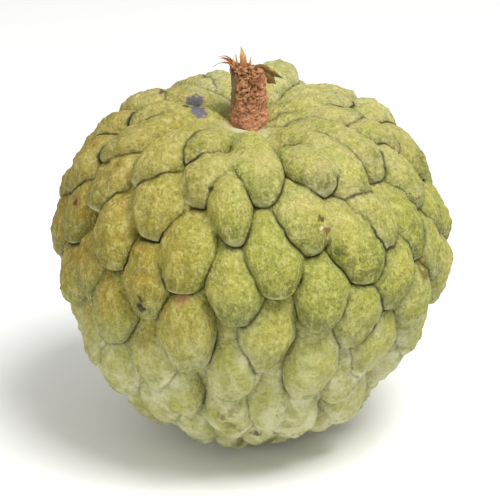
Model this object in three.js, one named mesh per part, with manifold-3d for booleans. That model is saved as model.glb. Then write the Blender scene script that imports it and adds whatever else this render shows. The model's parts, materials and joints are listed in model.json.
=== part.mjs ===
/*
 * A custard apple (sugar apple, Annona squamosa): one round fleshy fruit covered with overlapping
 * rounded scales, and the short woody stem that it hung by.
 *
 * Units are millimetres and +Z is up. The fruit stands on a small flat spot at z = 0, and the
 * middle of that spot is the origin. Its best side faces -Y.
 */
import * as THREE from 'three';
import { mergeVertices } from 'three/addons/utils/BufferGeometryUtils.js';
import Module from 'manifold-3d';

const wasm = await Module();
wasm.setup();

// ---------------------------------------------------------------------------------------------
// Driving dimensions
// ---------------------------------------------------------------------------------------------

// Half outline of the fruit over the tops of its scales, from the stem's hollow down to the
// blossom end: distance from the axis, height above the widest level.
const OUTLINE = [
	[0, 28.3],
	[8, 30.8],
	[16.5, 32.2],
	[25.5, 30.8],
	[33.5, 26],
	[39.5, 18.2],
	[43.6, 9.2],
	[44.9, 0],
	[43.6, -9.2],
	[40.2, -18.5],
	[36, -27.4],
	[30, -35.2],
	[22, -41.8],
	[12, -45.7],
	[0, -48.6],
];
const WIDEST_RADIUS = 44.9;
const REST_LEVEL = -47; // where the blossom end is flattened, below the widest level
const SWAY = 1.3; // how far the fruit is fuller towards -X above and below its widest level
const SWAY_REACH = 28; // distance from the widest level to where that is greatest

// Body under the scales
const CORE_DEPTH = 5.2; // depth below the tops of the scales
const CORE_END_DEPTH = 4.2; // the same at the blossom end
const CORE_END = [95, 125]; // distances along the outline between which one turns into the other
const CORE_ROWS = 20;
const CORE_SIDES = 24;

// Rings of scales, from the stem down. The tips of each ring lie one step further along the
// outline than those of the last, and its scales stand in the gaps of the ring above.
const FULL_RING = 14;
const RING_COUNTS = [14, 14, 14, 14, 14, 14, 12, 12, 10, 9, 7];
const FIRST_TIPS = 39.5; // distance of the first full ring's tips from the axis, along the outline
const RING_STEP = 10.1;
const TAPER_FROM = 85; // distance along the outline from which the steps shorten
const TAPER_SHARE = 0.48; // share of a step that follows the fruit's radius from there
const FRONT_TURN = 6; // degrees that the first ring's front scale is turned to +X

// Scales that stand between those of the first full ring, round the stem: degrees from the front
// towards +X, distance of the tip along the outline, and how far the tip stands up.
const STEM_SCALES = [
	[-27, 31, 0],
	[41, 43.5, 0],
	[90, 31, 0],
	[112, 28, 0],
	[163, 31, 4],
	[-164, 28, 1.5],
	[-128, 33, -1.2],
	[-94, 29, 0],
];
const COVERED_WITHIN = 11; // degrees within which such a scale hides the root of the next ring's
const STEM_END = 1.5; // distance from the axis to the roots of the scales round the stem

// Scales that grew out of line, by ring and place in it: degrees and distance that they moved by,
// and width against that of the others.
const STRAYS = new Map([
	['0:0', [3, 1, 0.95]],
	['1:0', [3, -1, 0.76]],
	['1:12', [0, 6, 1]],
	['1:13', [0, 3, 1]],
	['2:11', [-5, 1.5, 1]],
	['4:13', [2, -2, 1]],
	['6:0', [0, 4, 1]],
	['6:11', [-2, -4, 1]],
]);

// Round knob in the middle of the blossom end, which the last scales close in on
const KNOB_RADIUS = 6;
const KNOB_HALF_HEIGHT = 5;
const KNOB_LEVEL = -43.5;
const KNOB_SIDES = 14;
const KNOB_BANDS = 8;

// One scale
const SCALE_WIDTH = 13.5; // at its broadest, on the widest ring
const SCALE_LENGTH = 28.5; // from the tip to the buried root
const BROADEST_AT = 9.2; // distance from the tip to where the scale is broadest
const NECK_AT = 23.5; // distance from the tip to where it is as narrow as its neck
const NECK_SHARE = 0.8; // width of the neck against the broadest width
const TIP_SHARE = 0.48; // width of the blunt tip against the broadest width
const TIP_CORNER = 1.1; // length over which the corners of the tip are rounded
const TIP_BULGE = 1.25; // 1 makes the sides of the tip straight, and more makes them bulge
const SECTION_ROUNDING = 0.8; // 1 makes the cross-section an ellipse, and less makes it fuller
const HALF_THICKNESS = 5; // from the top of a scale down to where its flanks are widest
const NOSE_DROP = 2.2; // fall of the top towards the tip
const NOSE_LENGTH = 6; // length over which it falls
const NOSE_ROUND = 1.5; // length over which the blunt tip closes
const ROOT_SLOPE = 0.12; // steady fall of the top towards the root
const ROOT_FALL = 1.6; // further fall at ROOT_FALL_AT behind the broadest place
const ROOT_FALL_AT = 12;
const ROOT_CLOSES = 4; // length over which the root closes
const STEM_ROOT_CLOSES = 2; // the same on scales that reach the stem
const UNDER_DEPTH = 4; // depth of the underside below the widest place of the flanks
const LEVEL_SHARE = 0.25; // share of the fall that is left on scales that reach the stem
const SCALE_SIDES = 8;
const SCALE_BANDS = 5;

// Size of a scale against the room that its ring gives it
const ROOMY_SPACING = 20;
const LEAST_SIZE = 0.45;

// Seeded differences between scales
const SEED = 643;
const SLOPE_SEED = 31;
const TURN_SPREAD = 3.2; // degrees
const DROP_SPREAD = 1.6;
const SIZE_SPREAD = 0.06;
const TWIST_SPREAD = 6; // degrees
const RISE_SPREAD = 0.6;
const TIP_SPREAD = 1.4;
const LEAN_SPREAD = 0.08; // rise of one flank above the other for each millimetre across
const LIFT_SPREAD = 0.7; // rise of the tip
const LIFT_REACH = 13.2; // distance from the tip to where that has faded

// Stem: a round stalk of rough bark, torn off at the top, which stands in a plain socket
const STEM_RADIUS = 4.3;
const STEM_PLACE = -0.6; // of its foot along X
const STEM_LEAN = -0.04; // sideways travel along X for each millimetre up
const STEM_TOP = 42.6; // above the widest level, like the two below
const STEM_COLLAR = 31.1; // where the bark starts, just over the scales
const STEM_FOOT = 25.4;
const FOOT_RADIUS = 4.2;
const SOCKET_GAP = 0.3;
const STEM_SIDES = 16;
const BARK_ROWS = 7;
const BARK_RELIEF = 0.4;
const RIM_RAGGED = 0.8;
const RIM_FALL = 4; // how much lower the rim is on one side
const RIM_FALL_TURN = 52; // degrees from +X towards +Y of that side
const BARK_SEED = 77;

// Splinters of wood that stand up out of the torn top: place on it, base and height, and the lean
// of the tip along X.
const SPLINTERS = [
	{ x: -1.2, y: -1.2, radius: 1.5, height: 4.6, lean: -0.4 },
	{ x: -2.8, y: 0.4, radius: 1.1, height: 1.6, lean: -1.2 },
	{ x: 0.4, y: -1.4, radius: 1.3, height: 2, lean: 0.4 },
];
const SPLINTER_ROOT = 2.5; // depth that a splinter starts from inside the stalk
const SPLINTER_SIDES = 5;
const SPLINTER_BANDS = 2;

const radians = THREE.MathUtils.degToRad;
const eased = THREE.MathUtils.smoothstep;

/** Seeded random numbers from 0 to 1 (mulberry32). */
function seededDraws(seed) {
	let state = seed >>> 0;
	return () => {
		state = (state + 0x6d2b79f5) >>> 0;
		let mixed = Math.imul(state ^ (state >>> 15), state | 1);
		mixed = (mixed + Math.imul(mixed ^ (mixed >>> 7), mixed | 61)) ^ mixed;
		return ((mixed ^ (mixed >>> 14)) >>> 0) / 4294967296;
	};
}

// ---------------------------------------------------------------------------------------------
// The fruit's outline
// ---------------------------------------------------------------------------------------------

const outlineCurve = new THREE.SplineCurve(OUTLINE.map(([r, z]) => new THREE.Vector2(r, z)));
outlineCurve.arcLengthDivisions = 600;
const OUTLINE_LENGTH = outlineCurve.getLength();

/** Point and outward normal of the outline at a distance along it from the stem's hollow. */
function outlineAt(distance) {
	const share = THREE.MathUtils.clamp(distance / OUTLINE_LENGTH, 0, 1);
	const point = outlineCurve.getPointAt(share);
	const tangent = outlineCurve.getTangentAt(share);
	return { point, normal: new THREE.Vector2(-tangent.y, tangent.x) };
}

/** Sideways travel of the fruit's middle at a height above its widest level. */
function swayAt(height) {
	return (-SWAY * (1 - Math.cos((Math.PI * height) / SWAY_REACH))) / 2;
}

// ---------------------------------------------------------------------------------------------
// Closed meshes as solids
// ---------------------------------------------------------------------------------------------

/** A three.js geometry as a solid that can be joined and cut. */
function solidOf(geometry) {
	const bare = geometry.clone();
	bare.deleteAttribute('normal');
	bare.deleteAttribute('uv');
	const merged = mergeVertices(bare, 1e-4);
	const mesh = new wasm.Mesh({
		numProp: 3,
		vertProperties: new Float32Array(merged.attributes.position.array),
		triVerts: new Uint32Array(merged.index.array),
	});
	return new wasm.Manifold(mesh);
}

/** The three.js geometry of a solid. */
function geometryOf(solid) {
	const mesh = solid.getMesh();
	const geometry = new THREE.BufferGeometry();
	geometry.setAttribute('position', new THREE.BufferAttribute(mesh.vertProperties, 3));
	geometry.setIndex(new THREE.BufferAttribute(mesh.triVerts, 1));
	geometry.computeVertexNormals();
	return geometry;
}

/** Moves every vertex of a geometry by a rule that changes the point it is given. */
function reshape(geometry, rule) {
	const place = geometry.attributes.position;
	const point = new THREE.Vector3();
	for (let i = 0; i < place.count; i += 1) {
		rule(point.fromBufferAttribute(place, i));
		place.setXYZ(i, point.x, point.y, point.z);
	}
	return geometry;
}

// ---------------------------------------------------------------------------------------------
// Scales
// ---------------------------------------------------------------------------------------------

/** Smallest angle in degrees between two directions. */
function angleBetween(one, other) {
	return Math.abs(THREE.MathUtils.euclideanModulo(one - other + 180, 360) - 180);
}

/** Size of a scale, against one with all the room it needs, where scales stand this far apart. */
function sizeFor(spacing) {
	return Math.min(1, THREE.MathUtils.lerp(LEAST_SIZE, 1, spacing / ROOMY_SPACING));
}

/** Where each scale's tip lies, and how that scale differs from the next. */
function scalePlaces() {
	const draw = seededDraws(SEED);
	const drawSlope = seededDraws(SLOPE_SEED);
	const spread = (amount, from = draw) => amount * (2 * from() - 1);
	const place = (turn, distance, spacing, reachesStem, tipUp = 0, girth = 1) => ({
		turn: turn + spread(TURN_SPREAD),
		distance: distance + spread(DROP_SPREAD),
		size: sizeFor(spacing) * (1 + spread(SIZE_SPREAD)),
		twist: radians(spread(TWIST_SPREAD)),
		rise: spread(RISE_SPREAD),
		tipShift: spread(TIP_SPREAD),
		lean: spread(LEAN_SPREAD, drawSlope),
		lift: spread(LIFT_SPREAD, drawSlope),
		reachesStem,
		tipUp,
		girth,
	});
	const spacingAt = (distance, count) => (2 * Math.PI * outlineAt(distance).point.x) / count;

	const places = STEM_SCALES.map(([turn, distance, tipUp]) =>
		place(turn, distance, spacingAt(distance, FULL_RING), true, tipUp),
	);
	let tips = FIRST_TIPS;
	RING_COUNTS.forEach((count, ring) => {
		const offset = ring % 2 === 0 ? 0 : 180 / count;
		for (let i = 0; i < count; i += 1) {
			const [aside, drop, girth] = STRAYS.get(`${ring}:${i}`) ?? [0, 0, 1];
			const turn = FRONT_TURN - offset - (360 * i) / count;
			const covered = STEM_SCALES.some(([other]) => angleBetween(turn, other) < COVERED_WITHIN);
			const whole = ring === 0 && !covered;
			places.push(place(turn + aside, tips + drop, spacingAt(tips, count), whole, 0, girth));
		}
		const tapered = 1 - TAPER_SHARE * (1 - outlineAt(tips).point.x / WIDEST_RADIUS);
		tips += RING_STEP * (tips < TAPER_FROM ? 1 : tapered);
	});
	return places;
}

/** Height of a round end as a share of full height, at a distance from where it closes. */
function bluntShare(distance, length) {
	return Math.sqrt(1 - THREE.MathUtils.clamp(1 - distance / length, 0, 1) ** 2);
}

/**
 * Width of a scale as a share of its broadest width, at a distance from its tip. `rooted` is how
 * far open its root still is there.
 */
function planShare(fromTip, rooted) {
	const short = THREE.MathUtils.clamp(1 - fromTip / BROADEST_AT, 0, 1);
	const flared = THREE.MathUtils.lerp(TIP_SHARE, 1, 1 - short ** TIP_BULGE);
	const narrowed = 1 - (1 - NECK_SHARE) * eased(fromTip, BROADEST_AT, NECK_AT);
	return flared * bluntShare(fromTip, TIP_CORNER) * narrowed * rooted;
}

/** A number's power with its sign kept, which swells a circle towards a box. */
function swollen(value) {
	return Math.sign(value) * Math.abs(value) ** SECTION_ROUNDING;
}

/** One scale as a closed body: a sphere drawn out into a tongue that lies along the outline. */
function scaleGeometry(place) {
	const length = place.reachesStem ? place.distance - STEM_END : SCALE_LENGTH;
	const fallShare = place.reachesStem ? LEVEL_SHARE : 1;
	const rootCloses = place.reachesStem ? STEM_ROOT_CLOSES : ROOT_CLOSES;
	const alongShare = place.reachesStem ? 1 : place.size;
	const halfWidth = (SCALE_WIDTH / 2) * place.size * place.girth;
	const turn = radians(place.turn);
	const aside = new THREE.Vector3(Math.cos(turn), Math.sin(turn), 0);
	const outward = new THREE.Vector3(Math.sin(turn), -Math.cos(turn), 0);

	return reshape(new THREE.SphereGeometry(1, SCALE_SIDES, SCALE_BANDS), (point) => {
		// Position in the scale: distance from the tip, and the way round its cross-section
		const fromTip = (length * (1 - point.y)) / 2;
		const girth = Math.hypot(point.x, point.z);
		const side = girth > 0 ? swollen(-point.x / girth) : 0;
		const up = girth > 0 ? swollen(point.z / girth) : 0;

		// Plan of the scale
		const rooted = 1 - eased(fromTip, length - rootCloses, length);
		const shift = place.tipShift * (1 - eased(fromTip, 0, BROADEST_AT));
		const across = side * halfWidth * planShare(fromTip, rooted) + shift;

		// Height of its top and underside against the outline
		const behind = Math.max(0, fromTip - BROADEST_AT);
		const fall = fallShare * (ROOT_SLOPE * behind + ROOT_FALL * (behind / ROOT_FALL_AT) ** 2);
		const nose = NOSE_DROP * Math.max(0, 1 - fromTip / NOSE_LENGTH) ** 2;
		const topRise = (HALF_THICKNESS - nose) * rooted * bluntShare(fromTip, NOSE_ROUND);
		const slope = place.lean * across + place.lift * (1 - eased(fromTip, 0, LIFT_REACH));
		const swell = up > 0 ? up * topRise : up * girth * UNDER_DEPTH;
		const height = swell + slope - HALF_THICKNESS - fall;

		// Place on the fruit
		const along = fromTip * alongShare;
		const turnedAcross = across * Math.cos(place.twist) + along * Math.sin(place.twist);
		const turnedAlong = along * Math.cos(place.twist) - across * Math.sin(place.twist);
		const { point: on, normal } = outlineAt(place.distance - turnedAlong);
		const risen = place.rise + place.tipUp * (1 - fromTip / length);
		const lift = height + risen - turnedAcross ** 2 / (2 * WIDEST_RADIUS);
		point.copy(outward).multiplyScalar(on.x + normal.x * lift);
		point.addScaledVector(aside, turnedAcross);
		point.z = on.y + normal.y * lift;
		point.x += swayAt(point.z);
	});
}

// ---------------------------------------------------------------------------------------------
// Fruit
// ---------------------------------------------------------------------------------------------

/** The body under the scales, turned from the outline. */
function coreSolid() {
	const profile = [];
	for (let i = CORE_ROWS; i >= 0; i -= 1) {
		const distance = (OUTLINE_LENGTH * i) / CORE_ROWS;
		const { point, normal } = outlineAt(distance);
		const depth = THREE.MathUtils.lerp(CORE_DEPTH, CORE_END_DEPTH, eased(distance, ...CORE_END));
		const onAxis = i === 0 || i === CORE_ROWS;
		const radius = onAxis ? 0 : Math.max(1, point.x - normal.x * depth);
		profile.push(new THREE.Vector2(radius, point.y - normal.y * depth));
	}
	const turned = new THREE.LatheGeometry(profile, CORE_SIDES);
	turned.rotateX(Math.PI / 2);
	return solidOf(
		reshape(turned, (point) => {
			point.x += swayAt(point.z);
		}),
	);
}

/** The round knob at the blossom end. */
function knobSolid() {
	const knob = new THREE.SphereGeometry(KNOB_RADIUS, KNOB_SIDES, KNOB_BANDS);
	knob.rotateX(Math.PI / 2).scale(1, 1, KNOB_HALF_HEIGHT / KNOB_RADIUS);
	return solidOf(knob.translate(0, 0, KNOB_LEVEL));
}

/** The one body of a solid that is left once closed hollows and loose scraps are dropped. */
function wholeOf(solid) {
	return solid.decompose().sort((one, other) => other.volume() - one.volume())[0];
}

/** Everything below the level that the fruit rests on, as a block to cut with. */
function blockBelow() {
	const size = 4 * WIDEST_RADIUS;
	return solidOf(new THREE.BoxGeometry(size, size, size).translate(0, 0, REST_LEVEL - size / 2));
}

/** The plain round socket that the stem's foot stands in, as a block to cut with. */
function socketBlock() {
	const radius = FOOT_RADIUS + SOCKET_GAP;
	const floor = STEM_FOOT - SOCKET_GAP;
	const height = STEM_TOP - floor;
	const block = new THREE.CylinderGeometry(radius, radius, height, STEM_SIDES);
	block.rotateX(Math.PI / 2);
	return solidOf(block.translate(STEM_PLACE, 0, floor + height / 2));
}

function fruitGeometry() {
	const scales = scalePlaces().map((place) => solidOf(scaleGeometry(place)));
	const grown = wasm.Manifold.union([coreSolid(), knobSolid(), ...scales]);
	return geometryOf(wholeOf(grown.subtract(blockBelow()).subtract(socketBlock())));
}

// ---------------------------------------------------------------------------------------------
// Stem
// ---------------------------------------------------------------------------------------------

/** The stalk: a plain foot in the socket, rough bark above it and a ragged rim at the top. */
function stalkSolid() {
	const draw = seededDraws(BARK_SEED);
	const rows = BARK_ROWS + 2;
	const roughRow = () => Array.from({ length: STEM_SIDES }, () => 2 * draw() - 1);
	const relief = Array.from({ length: rows + 1 }, roughRow);
	const stalk = new THREE.CylinderGeometry(1, 1, rows, STEM_SIDES, rows);
	stalk.rotateX(Math.PI / 2);
	return solidOf(
		reshape(stalk, (point) => {
			const row = Math.round(point.z + rows / 2);
			const column = Math.round((Math.atan2(point.y, point.x) * STEM_SIDES) / (2 * Math.PI));
			const rough = relief[row][THREE.MathUtils.euclideanModulo(column, STEM_SIDES)];
			const inFoot = row < 2;
			const climb = (row - 1) / BARK_ROWS;
			const radius = inFoot ? FOOT_RADIUS : STEM_RADIUS + BARK_RELIEF * rough;
			const facing = Math.cos(Math.atan2(point.y, point.x) - radians(RIM_FALL_TURN));
			const rim = STEM_TOP - RIM_FALL * eased(facing, -0.3, 0.9);
			const level = THREE.MathUtils.lerp(STEM_COLLAR, rim, Math.max(0, climb));
			point.x *= radius;
			point.y *= radius;
			point.z = row === 0 ? STEM_FOOT : level + (row === rows ? RIM_RAGGED * rough : 0);
		}),
	);
}

/** One splinter: a thin cone rooted in the stalk, with its tip leaning over. */
function splinterSolid({ x, y, radius, height, lean }) {
	const whole = height + SPLINTER_ROOT;
	const splinter = new THREE.ConeGeometry(radius, whole, SPLINTER_SIDES, SPLINTER_BANDS);
	splinter.rotateX(Math.PI / 2).translate(x, y, STEM_TOP - SPLINTER_ROOT + whole / 2);
	return solidOf(
		reshape(splinter, (point) => {
			const climb = Math.max(0, point.z - STEM_TOP) / height;
			point.x += lean * climb;
		}),
	);
}

function stemGeometry() {
	const joined = wasm.Manifold.union([stalkSolid(), ...SPLINTERS.map(splinterSolid)]);
	return reshape(geometryOf(wholeOf(joined)), (point) => {
		point.x += STEM_PLACE + STEM_LEAN * Math.max(0, point.z - STEM_COLLAR);
	});
}

// ---------------------------------------------------------------------------------------------
// The part
// ---------------------------------------------------------------------------------------------

const skin = new THREE.MeshStandardMaterial({ color: 0x9ba552, roughness: 0.6, metalness: 0 });
const bark = new THREE.MeshStandardMaterial({ color: 0x8a5138, roughness: 0.9, metalness: 0 });

const group = new THREE.Group();
group.position.z = -REST_LEVEL;

const fruit = new THREE.Mesh(fruitGeometry(), skin);
fruit.name = 'fruit';
group.add(fruit);

const stem = new THREE.Mesh(stemGeometry(), bark);
stem.name = 'stem';
group.add(stem);

export default group;
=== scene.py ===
"""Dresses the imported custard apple: finely grown scales, a torn woody stem and their finishes.

The sizes in the classes are millimetres, measured from the middle of the flat spot that the fruit
rests on, with +Z up through the fruit and its best side facing -Y. Levels in the outline and the
stem are measured from the fruit's widest level instead. Meshes are turned into metres when they
are made.
"""

import json
import logging
import math
from collections.abc import Callable, Sequence
from dataclasses import dataclass
from enum import Enum
from functools import cached_property

import bmesh
import bpy
import numpy as np
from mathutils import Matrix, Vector
from mathutils.kdtree import KDTree

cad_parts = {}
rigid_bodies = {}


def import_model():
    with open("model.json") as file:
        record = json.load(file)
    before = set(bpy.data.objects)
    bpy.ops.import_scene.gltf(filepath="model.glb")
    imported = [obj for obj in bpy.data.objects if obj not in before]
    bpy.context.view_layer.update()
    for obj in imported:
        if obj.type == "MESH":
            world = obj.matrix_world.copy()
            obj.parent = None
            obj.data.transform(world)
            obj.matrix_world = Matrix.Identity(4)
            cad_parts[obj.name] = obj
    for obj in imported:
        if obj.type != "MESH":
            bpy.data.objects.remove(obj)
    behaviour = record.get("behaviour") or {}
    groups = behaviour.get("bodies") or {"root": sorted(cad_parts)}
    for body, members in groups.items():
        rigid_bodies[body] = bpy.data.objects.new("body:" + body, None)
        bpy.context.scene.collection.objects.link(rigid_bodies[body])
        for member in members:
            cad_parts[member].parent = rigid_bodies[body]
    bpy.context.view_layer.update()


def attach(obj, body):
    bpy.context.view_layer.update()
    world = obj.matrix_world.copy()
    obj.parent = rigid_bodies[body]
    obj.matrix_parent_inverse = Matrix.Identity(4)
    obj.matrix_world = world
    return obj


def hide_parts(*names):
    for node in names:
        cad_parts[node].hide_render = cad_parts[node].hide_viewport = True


log = logging.getLogger("custard_apple")

MM = 0.001
WORD = 0xFFFFFFFF  # the largest whole number of 32 bits

Array = np.ndarray
Colour = tuple[float, float, float]
Place = tuple[float, float, float]
Span = tuple[float, float]
Mesh = bpy.types.Mesh
Piece = bpy.types.Object
Material = bpy.types.Material
Tree = bpy.types.NodeTree
Node = bpy.types.Node
Socket = bpy.types.NodeSocket
Value = Socket | float | Sequence[float]


class Slot(Enum):
    """Material slots of the part's record."""

    SKIN = "skin"
    BARK = "bark"


class Op(Enum):
    """Sums that a Math node does."""

    ADD = "ADD"
    SUBTRACT = "SUBTRACT"
    MULTIPLY = "MULTIPLY"
    DIVIDE = "DIVIDE"
    LARGER = "MAXIMUM"
    LESS_THAN = "LESS_THAN"


# ---- Numbers ----


def srgb(code: str) -> Colour:
    """Turns a screen colour, such as "9ba552", into Blender's linear red, green and blue.

    Args:
        code: the colour's six digits.

    Returns:
        The colour.
    """
    shares = [int(code[i : i + 2], 16) / 255 for i in (0, 2, 4)]
    red, green, blue = ((s / 12.92) if s <= 0.04045 else ((s + 0.055) / 1.055) ** 2.4 for s in shares)
    return red, green, blue


def eased(value: Array | float, start: float, end: float) -> Array:
    """Smooth step from 0 at ``start`` to 1 at ``end``."""
    share = np.clip((np.asarray(value, float) - start) / (end - start), 0, 1)
    return share * share * (3 - 2 * share)


def blunt(distance: Array, length: float) -> Array:
    """Share of full height at a distance along a round end that opens out over a length."""
    return np.sqrt(1 - np.clip(1 - distance / length, 0, 1) ** 2)


class SeededDraws:
    """Random numbers that come out the same each time (mulberry32)."""

    def __init__(self, seed: int) -> None:
        """Starts the draws from a whole number."""
        self.state = seed & WORD

    def draw(self) -> float:
        """Next number from 0 to 1.

        Returns:
            The number.
        """
        self.state = (self.state + 0x6D2B79F5) & WORD
        mixed = ((self.state ^ (self.state >> 15)) * (self.state | 1)) & WORD
        added = ((mixed ^ (mixed >> 7)) * (mixed | 61)) & WORD
        mixed = ((mixed + added) & WORD) ^ mixed
        return ((mixed ^ (mixed >> 14)) & WORD) / (WORD + 1)

    def spread(self, amount: float) -> float:
        """Next number from ``-amount`` to ``amount``."""
        return amount * (2 * self.draw() - 1)

    def above(self, least: float, reach: float, power: float = 1) -> float:
        """Next number from ``least`` to ``reach`` more, and more often low with a high power."""
        return least + reach * self.draw() ** power


@dataclass(frozen=True)
class Lumps:
    """Soft random relief that fills space, the same at a place every time.

    Attributes:
        size: distance across one lump.
        seed: picks one such relief from another.
    """

    size: float
    seed: int

    def _corner(self, cell: Array) -> Array:
        """Value from -1 to 1 at each whole-numbered lattice point, mixed from its numbers.

        Args:
            cell: lattice points, one to a row of three numbers.

        Returns:
            One value for each.
        """
        x, y, z = np.moveaxis(cell.astype(np.int64) * (73856093, 19349663, 83492791), -1, 0)
        mixed = (x ^ y ^ z ^ (self.seed * 2654435761)) & WORD
        for _ in range(2):
            mixed = ((mixed ^ (mixed >> 16)) * 0x45D9F3B) & WORD
        return ((mixed ^ (mixed >> 16)) & 0xFFFF) / 32767.5 - 1

    def at(self, points: Array) -> Array:
        """Height of the relief.

        Args:
            points: places, one to a row of three numbers.

        Returns:
            One height from -1 to 1 for each place.
        """
        scaled = np.asarray(points, float) / self.size
        cell = np.floor(scaled)
        part = scaled - cell
        weight = part * part * (3 - 2 * part)
        total = np.zeros(scaled.shape[:-1])
        for corner in np.ndindex(2, 2, 2):
            near = np.where(corner, weight, 1 - weight).prod(axis=-1)
            total += near * self._corner(cell + corner)
        return total

    def ridged(self, points: Array) -> Array:
        """The same relief folded into ridges and flats, from -1 to 1."""
        return 1 - 2 * np.abs(self.at(points)) ** 0.8


# ---- Meshes ----


def mesh_of(name: str, points: Array, faces: Sequence[Sequence[int]]) -> Mesh:
    """Makes a smooth-shaded mesh.

    Args:
        name: the mesh's name.
        points: its points, in millimetres.
        faces: point numbers of each face.

    Returns:
        The mesh, in metres.
    """
    mesh = bpy.data.meshes.new(name)
    mesh.from_pydata((np.asarray(points) * MM).tolist(), [], faces)
    mesh.shade_smooth()
    mesh.update()
    return mesh


def piece_of(name: str, data: bpy.types.ID) -> Piece:
    """Puts a mesh, a lamp or a camera into the scene as an object at the origin.

    Args:
        name: the object's name.
        data: what the object shows.

    Returns:
        The object.
    """
    piece = bpy.data.objects.new(name, data)
    bpy.context.scene.collection.objects.link(piece)
    return piece


def capped(grid: Array) -> Array:
    """Keeps one point of the first ring and of the last, and every point of those between."""
    return np.vstack([grid[0, :1], grid[1:-1].reshape(-1, grid.shape[-1]), grid[-1, :1]])


def tube_faces(rings: int, sides: int) -> list[tuple[int, ...]]:
    """Faces of a tube closed by a point at each end, seen from outside.

    The points come in this order: the first end's point, each ring in turn, the last end's point.
    Going round a ring, the points turn so that the first end is to their right, seen from outside.

    Args:
        rings: number of rings between the two ends.
        sides: number of points in a ring.

    Returns:
        One tuple of point numbers for each face.
    """

    def index(ring: int, side: int) -> int:
        """Number of one point of a ring."""
        return 1 + ring * sides + side % sides

    last = 1 + rings * sides
    faces: list[tuple[int, ...]] = [(0, index(0, k + 1), index(0, k)) for k in range(sides)]
    for ring in range(rings - 1):
        faces += [
            (index(ring, k), index(ring, k + 1), index(ring + 1, k + 1), index(ring + 1, k))
            for k in range(sides)
        ]
    faces += [(last, index(rings - 1, k), index(rings - 1, k + 1)) for k in range(sides)]
    return faces


def store(mesh: Mesh, name: str, kind: str, domain: str, values: Array) -> None:
    """Keeps values with a mesh, for its finish to read.

    Args:
        mesh: the mesh.
        name: name that the finish reads them by.
        kind: Blender's name for their type.
        domain: Blender's name for what has one each: points, edges, corners or faces.
        values: the values in order.
    """
    layer = mesh.attributes.new(name, kind, domain)
    key = "vector" if kind == "FLOAT_VECTOR" else "value"
    layer.data.foreach_set(key, np.ascontiguousarray(values).ravel())


def read(collection: bpy.types.bpy_prop_collection, key: str, width: int, kind: type) -> Array:
    """Reads one property of every item of a mesh's collection.

    Args:
        collection: the items, such as a mesh's edges.
        key: the property's name.
        width: how many numbers it has.
        kind: type of those numbers.

    Returns:
        The numbers, one row to an item where it has more than one.
    """
    values = np.empty(len(collection) * width, kind)
    collection.foreach_get(key, values)
    return values.reshape(-1, width) if width > 1 else values


# ---- How the fruit grew ----


@dataclass(frozen=True)
class Outline:
    """Half outline of the fruit over the tops of its scales.

    Attributes:
        points: distance from the axis and height above the widest level, from the stem's hollow
            down to the blossom end.
        widest_radius: the fruit's radius at its widest level.
        rest_level: where the blossom end is flattened, below the widest level.
        sway: how far the fruit is fuller towards -X above and below its widest level.
        sway_reach: distance from the widest level to where that is greatest.
        steps: number of short straight stretches that stand for the curve.
    """

    points: tuple[Span, ...] = (
        *((0, 28.3), (8, 30.8), (16.5, 32.2), (25.5, 30.8), (33.5, 26), (39.5, 18.2), (43.6, 9.2)),
        *((44.9, 0), (43.6, -9.2), (40.2, -18.5), (36, -27.4), (30, -35.2), (22, -41.8)),
        *((12, -45.7), (0, -48.6)),
    )
    widest_radius: float = 44.9
    rest_level: float = -47
    sway: float = 1.3
    sway_reach: float = 28
    steps: int = 600

    @cached_property
    def _curve(self) -> tuple[Array, Array, Array]:
        """The curve through the points: its places, their distances along it and its headings.

        Returns:
            The three of them, with a row or a number for each place.
        """
        knots = np.array(self.points, float)
        padded = np.vstack([knots[0], knots, knots[-1]])
        spans = len(knots) - 1
        place = np.linspace(0, spans, self.steps + 1)
        first = np.minimum(place.astype(int), spans - 1)
        share = (place - first)[:, None]
        before, here, after, beyond = (padded[first + k] for k in range(4))
        leave, arrive = (after - before) / 2, (beyond - here) / 2
        cubic = 2 * here - 2 * after + leave + arrive
        square = 3 * after - 3 * here - 2 * leave - arrive
        curve = ((cubic * share + square) * share + leave) * share + here
        heading = np.gradient(curve, axis=0)
        stretches = np.hypot(*np.diff(curve, axis=0).T)
        distance = np.concatenate([[0], np.cumsum(stretches)])
        return curve, distance, heading / np.linalg.norm(heading, axis=1)[:, None]

    @property
    def length(self) -> float:
        """Length of the outline."""
        return float(self._curve[1][-1])

    def at(self, distance: Array | float) -> tuple[Array, Array, Array, Array]:
        """Place and outward direction at a distance along the outline.

        Args:
            distance: distances from the stem's hollow.

        Returns:
            Radius, height, and the outward direction's radial and upward parts.
        """
        curve, travelled, heading = self._curve
        near = np.clip(distance, 0, self.length)
        wanted = (*curve.T, -heading[:, 1], heading[:, 0])
        radius, height, out, up = (np.interp(near, travelled, values) for values in wanted)
        long = np.hypot(out, up)
        return radius, height, out / long, up / long

    def radius_at(self, distance: float) -> float:
        """Radius of the fruit at a distance along its outline."""
        return float(self.at(distance)[0])

    def place(self, turn: Array | float, across: Array | float, radius: Array, height: Array) -> Array:
        """Points of the fruit in space, with the sway of its middle.

        Args:
            turn: degrees from the front towards +X.
            across: distance to the side of that direction.
            radius: distance out from the axis along it.
            height: height above the widest level.

        Returns:
            Points above the resting level.
        """
        angle = np.radians(turn)
        sway = -self.sway * (1 - np.cos(np.pi * height / self.sway_reach)) / 2
        x = radius * np.sin(angle) + across * np.cos(angle) + sway
        y = -radius * np.cos(angle) + across * np.sin(angle)
        return np.stack(np.broadcast_arrays(x, y, height - self.rest_level), axis=-1)


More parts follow.
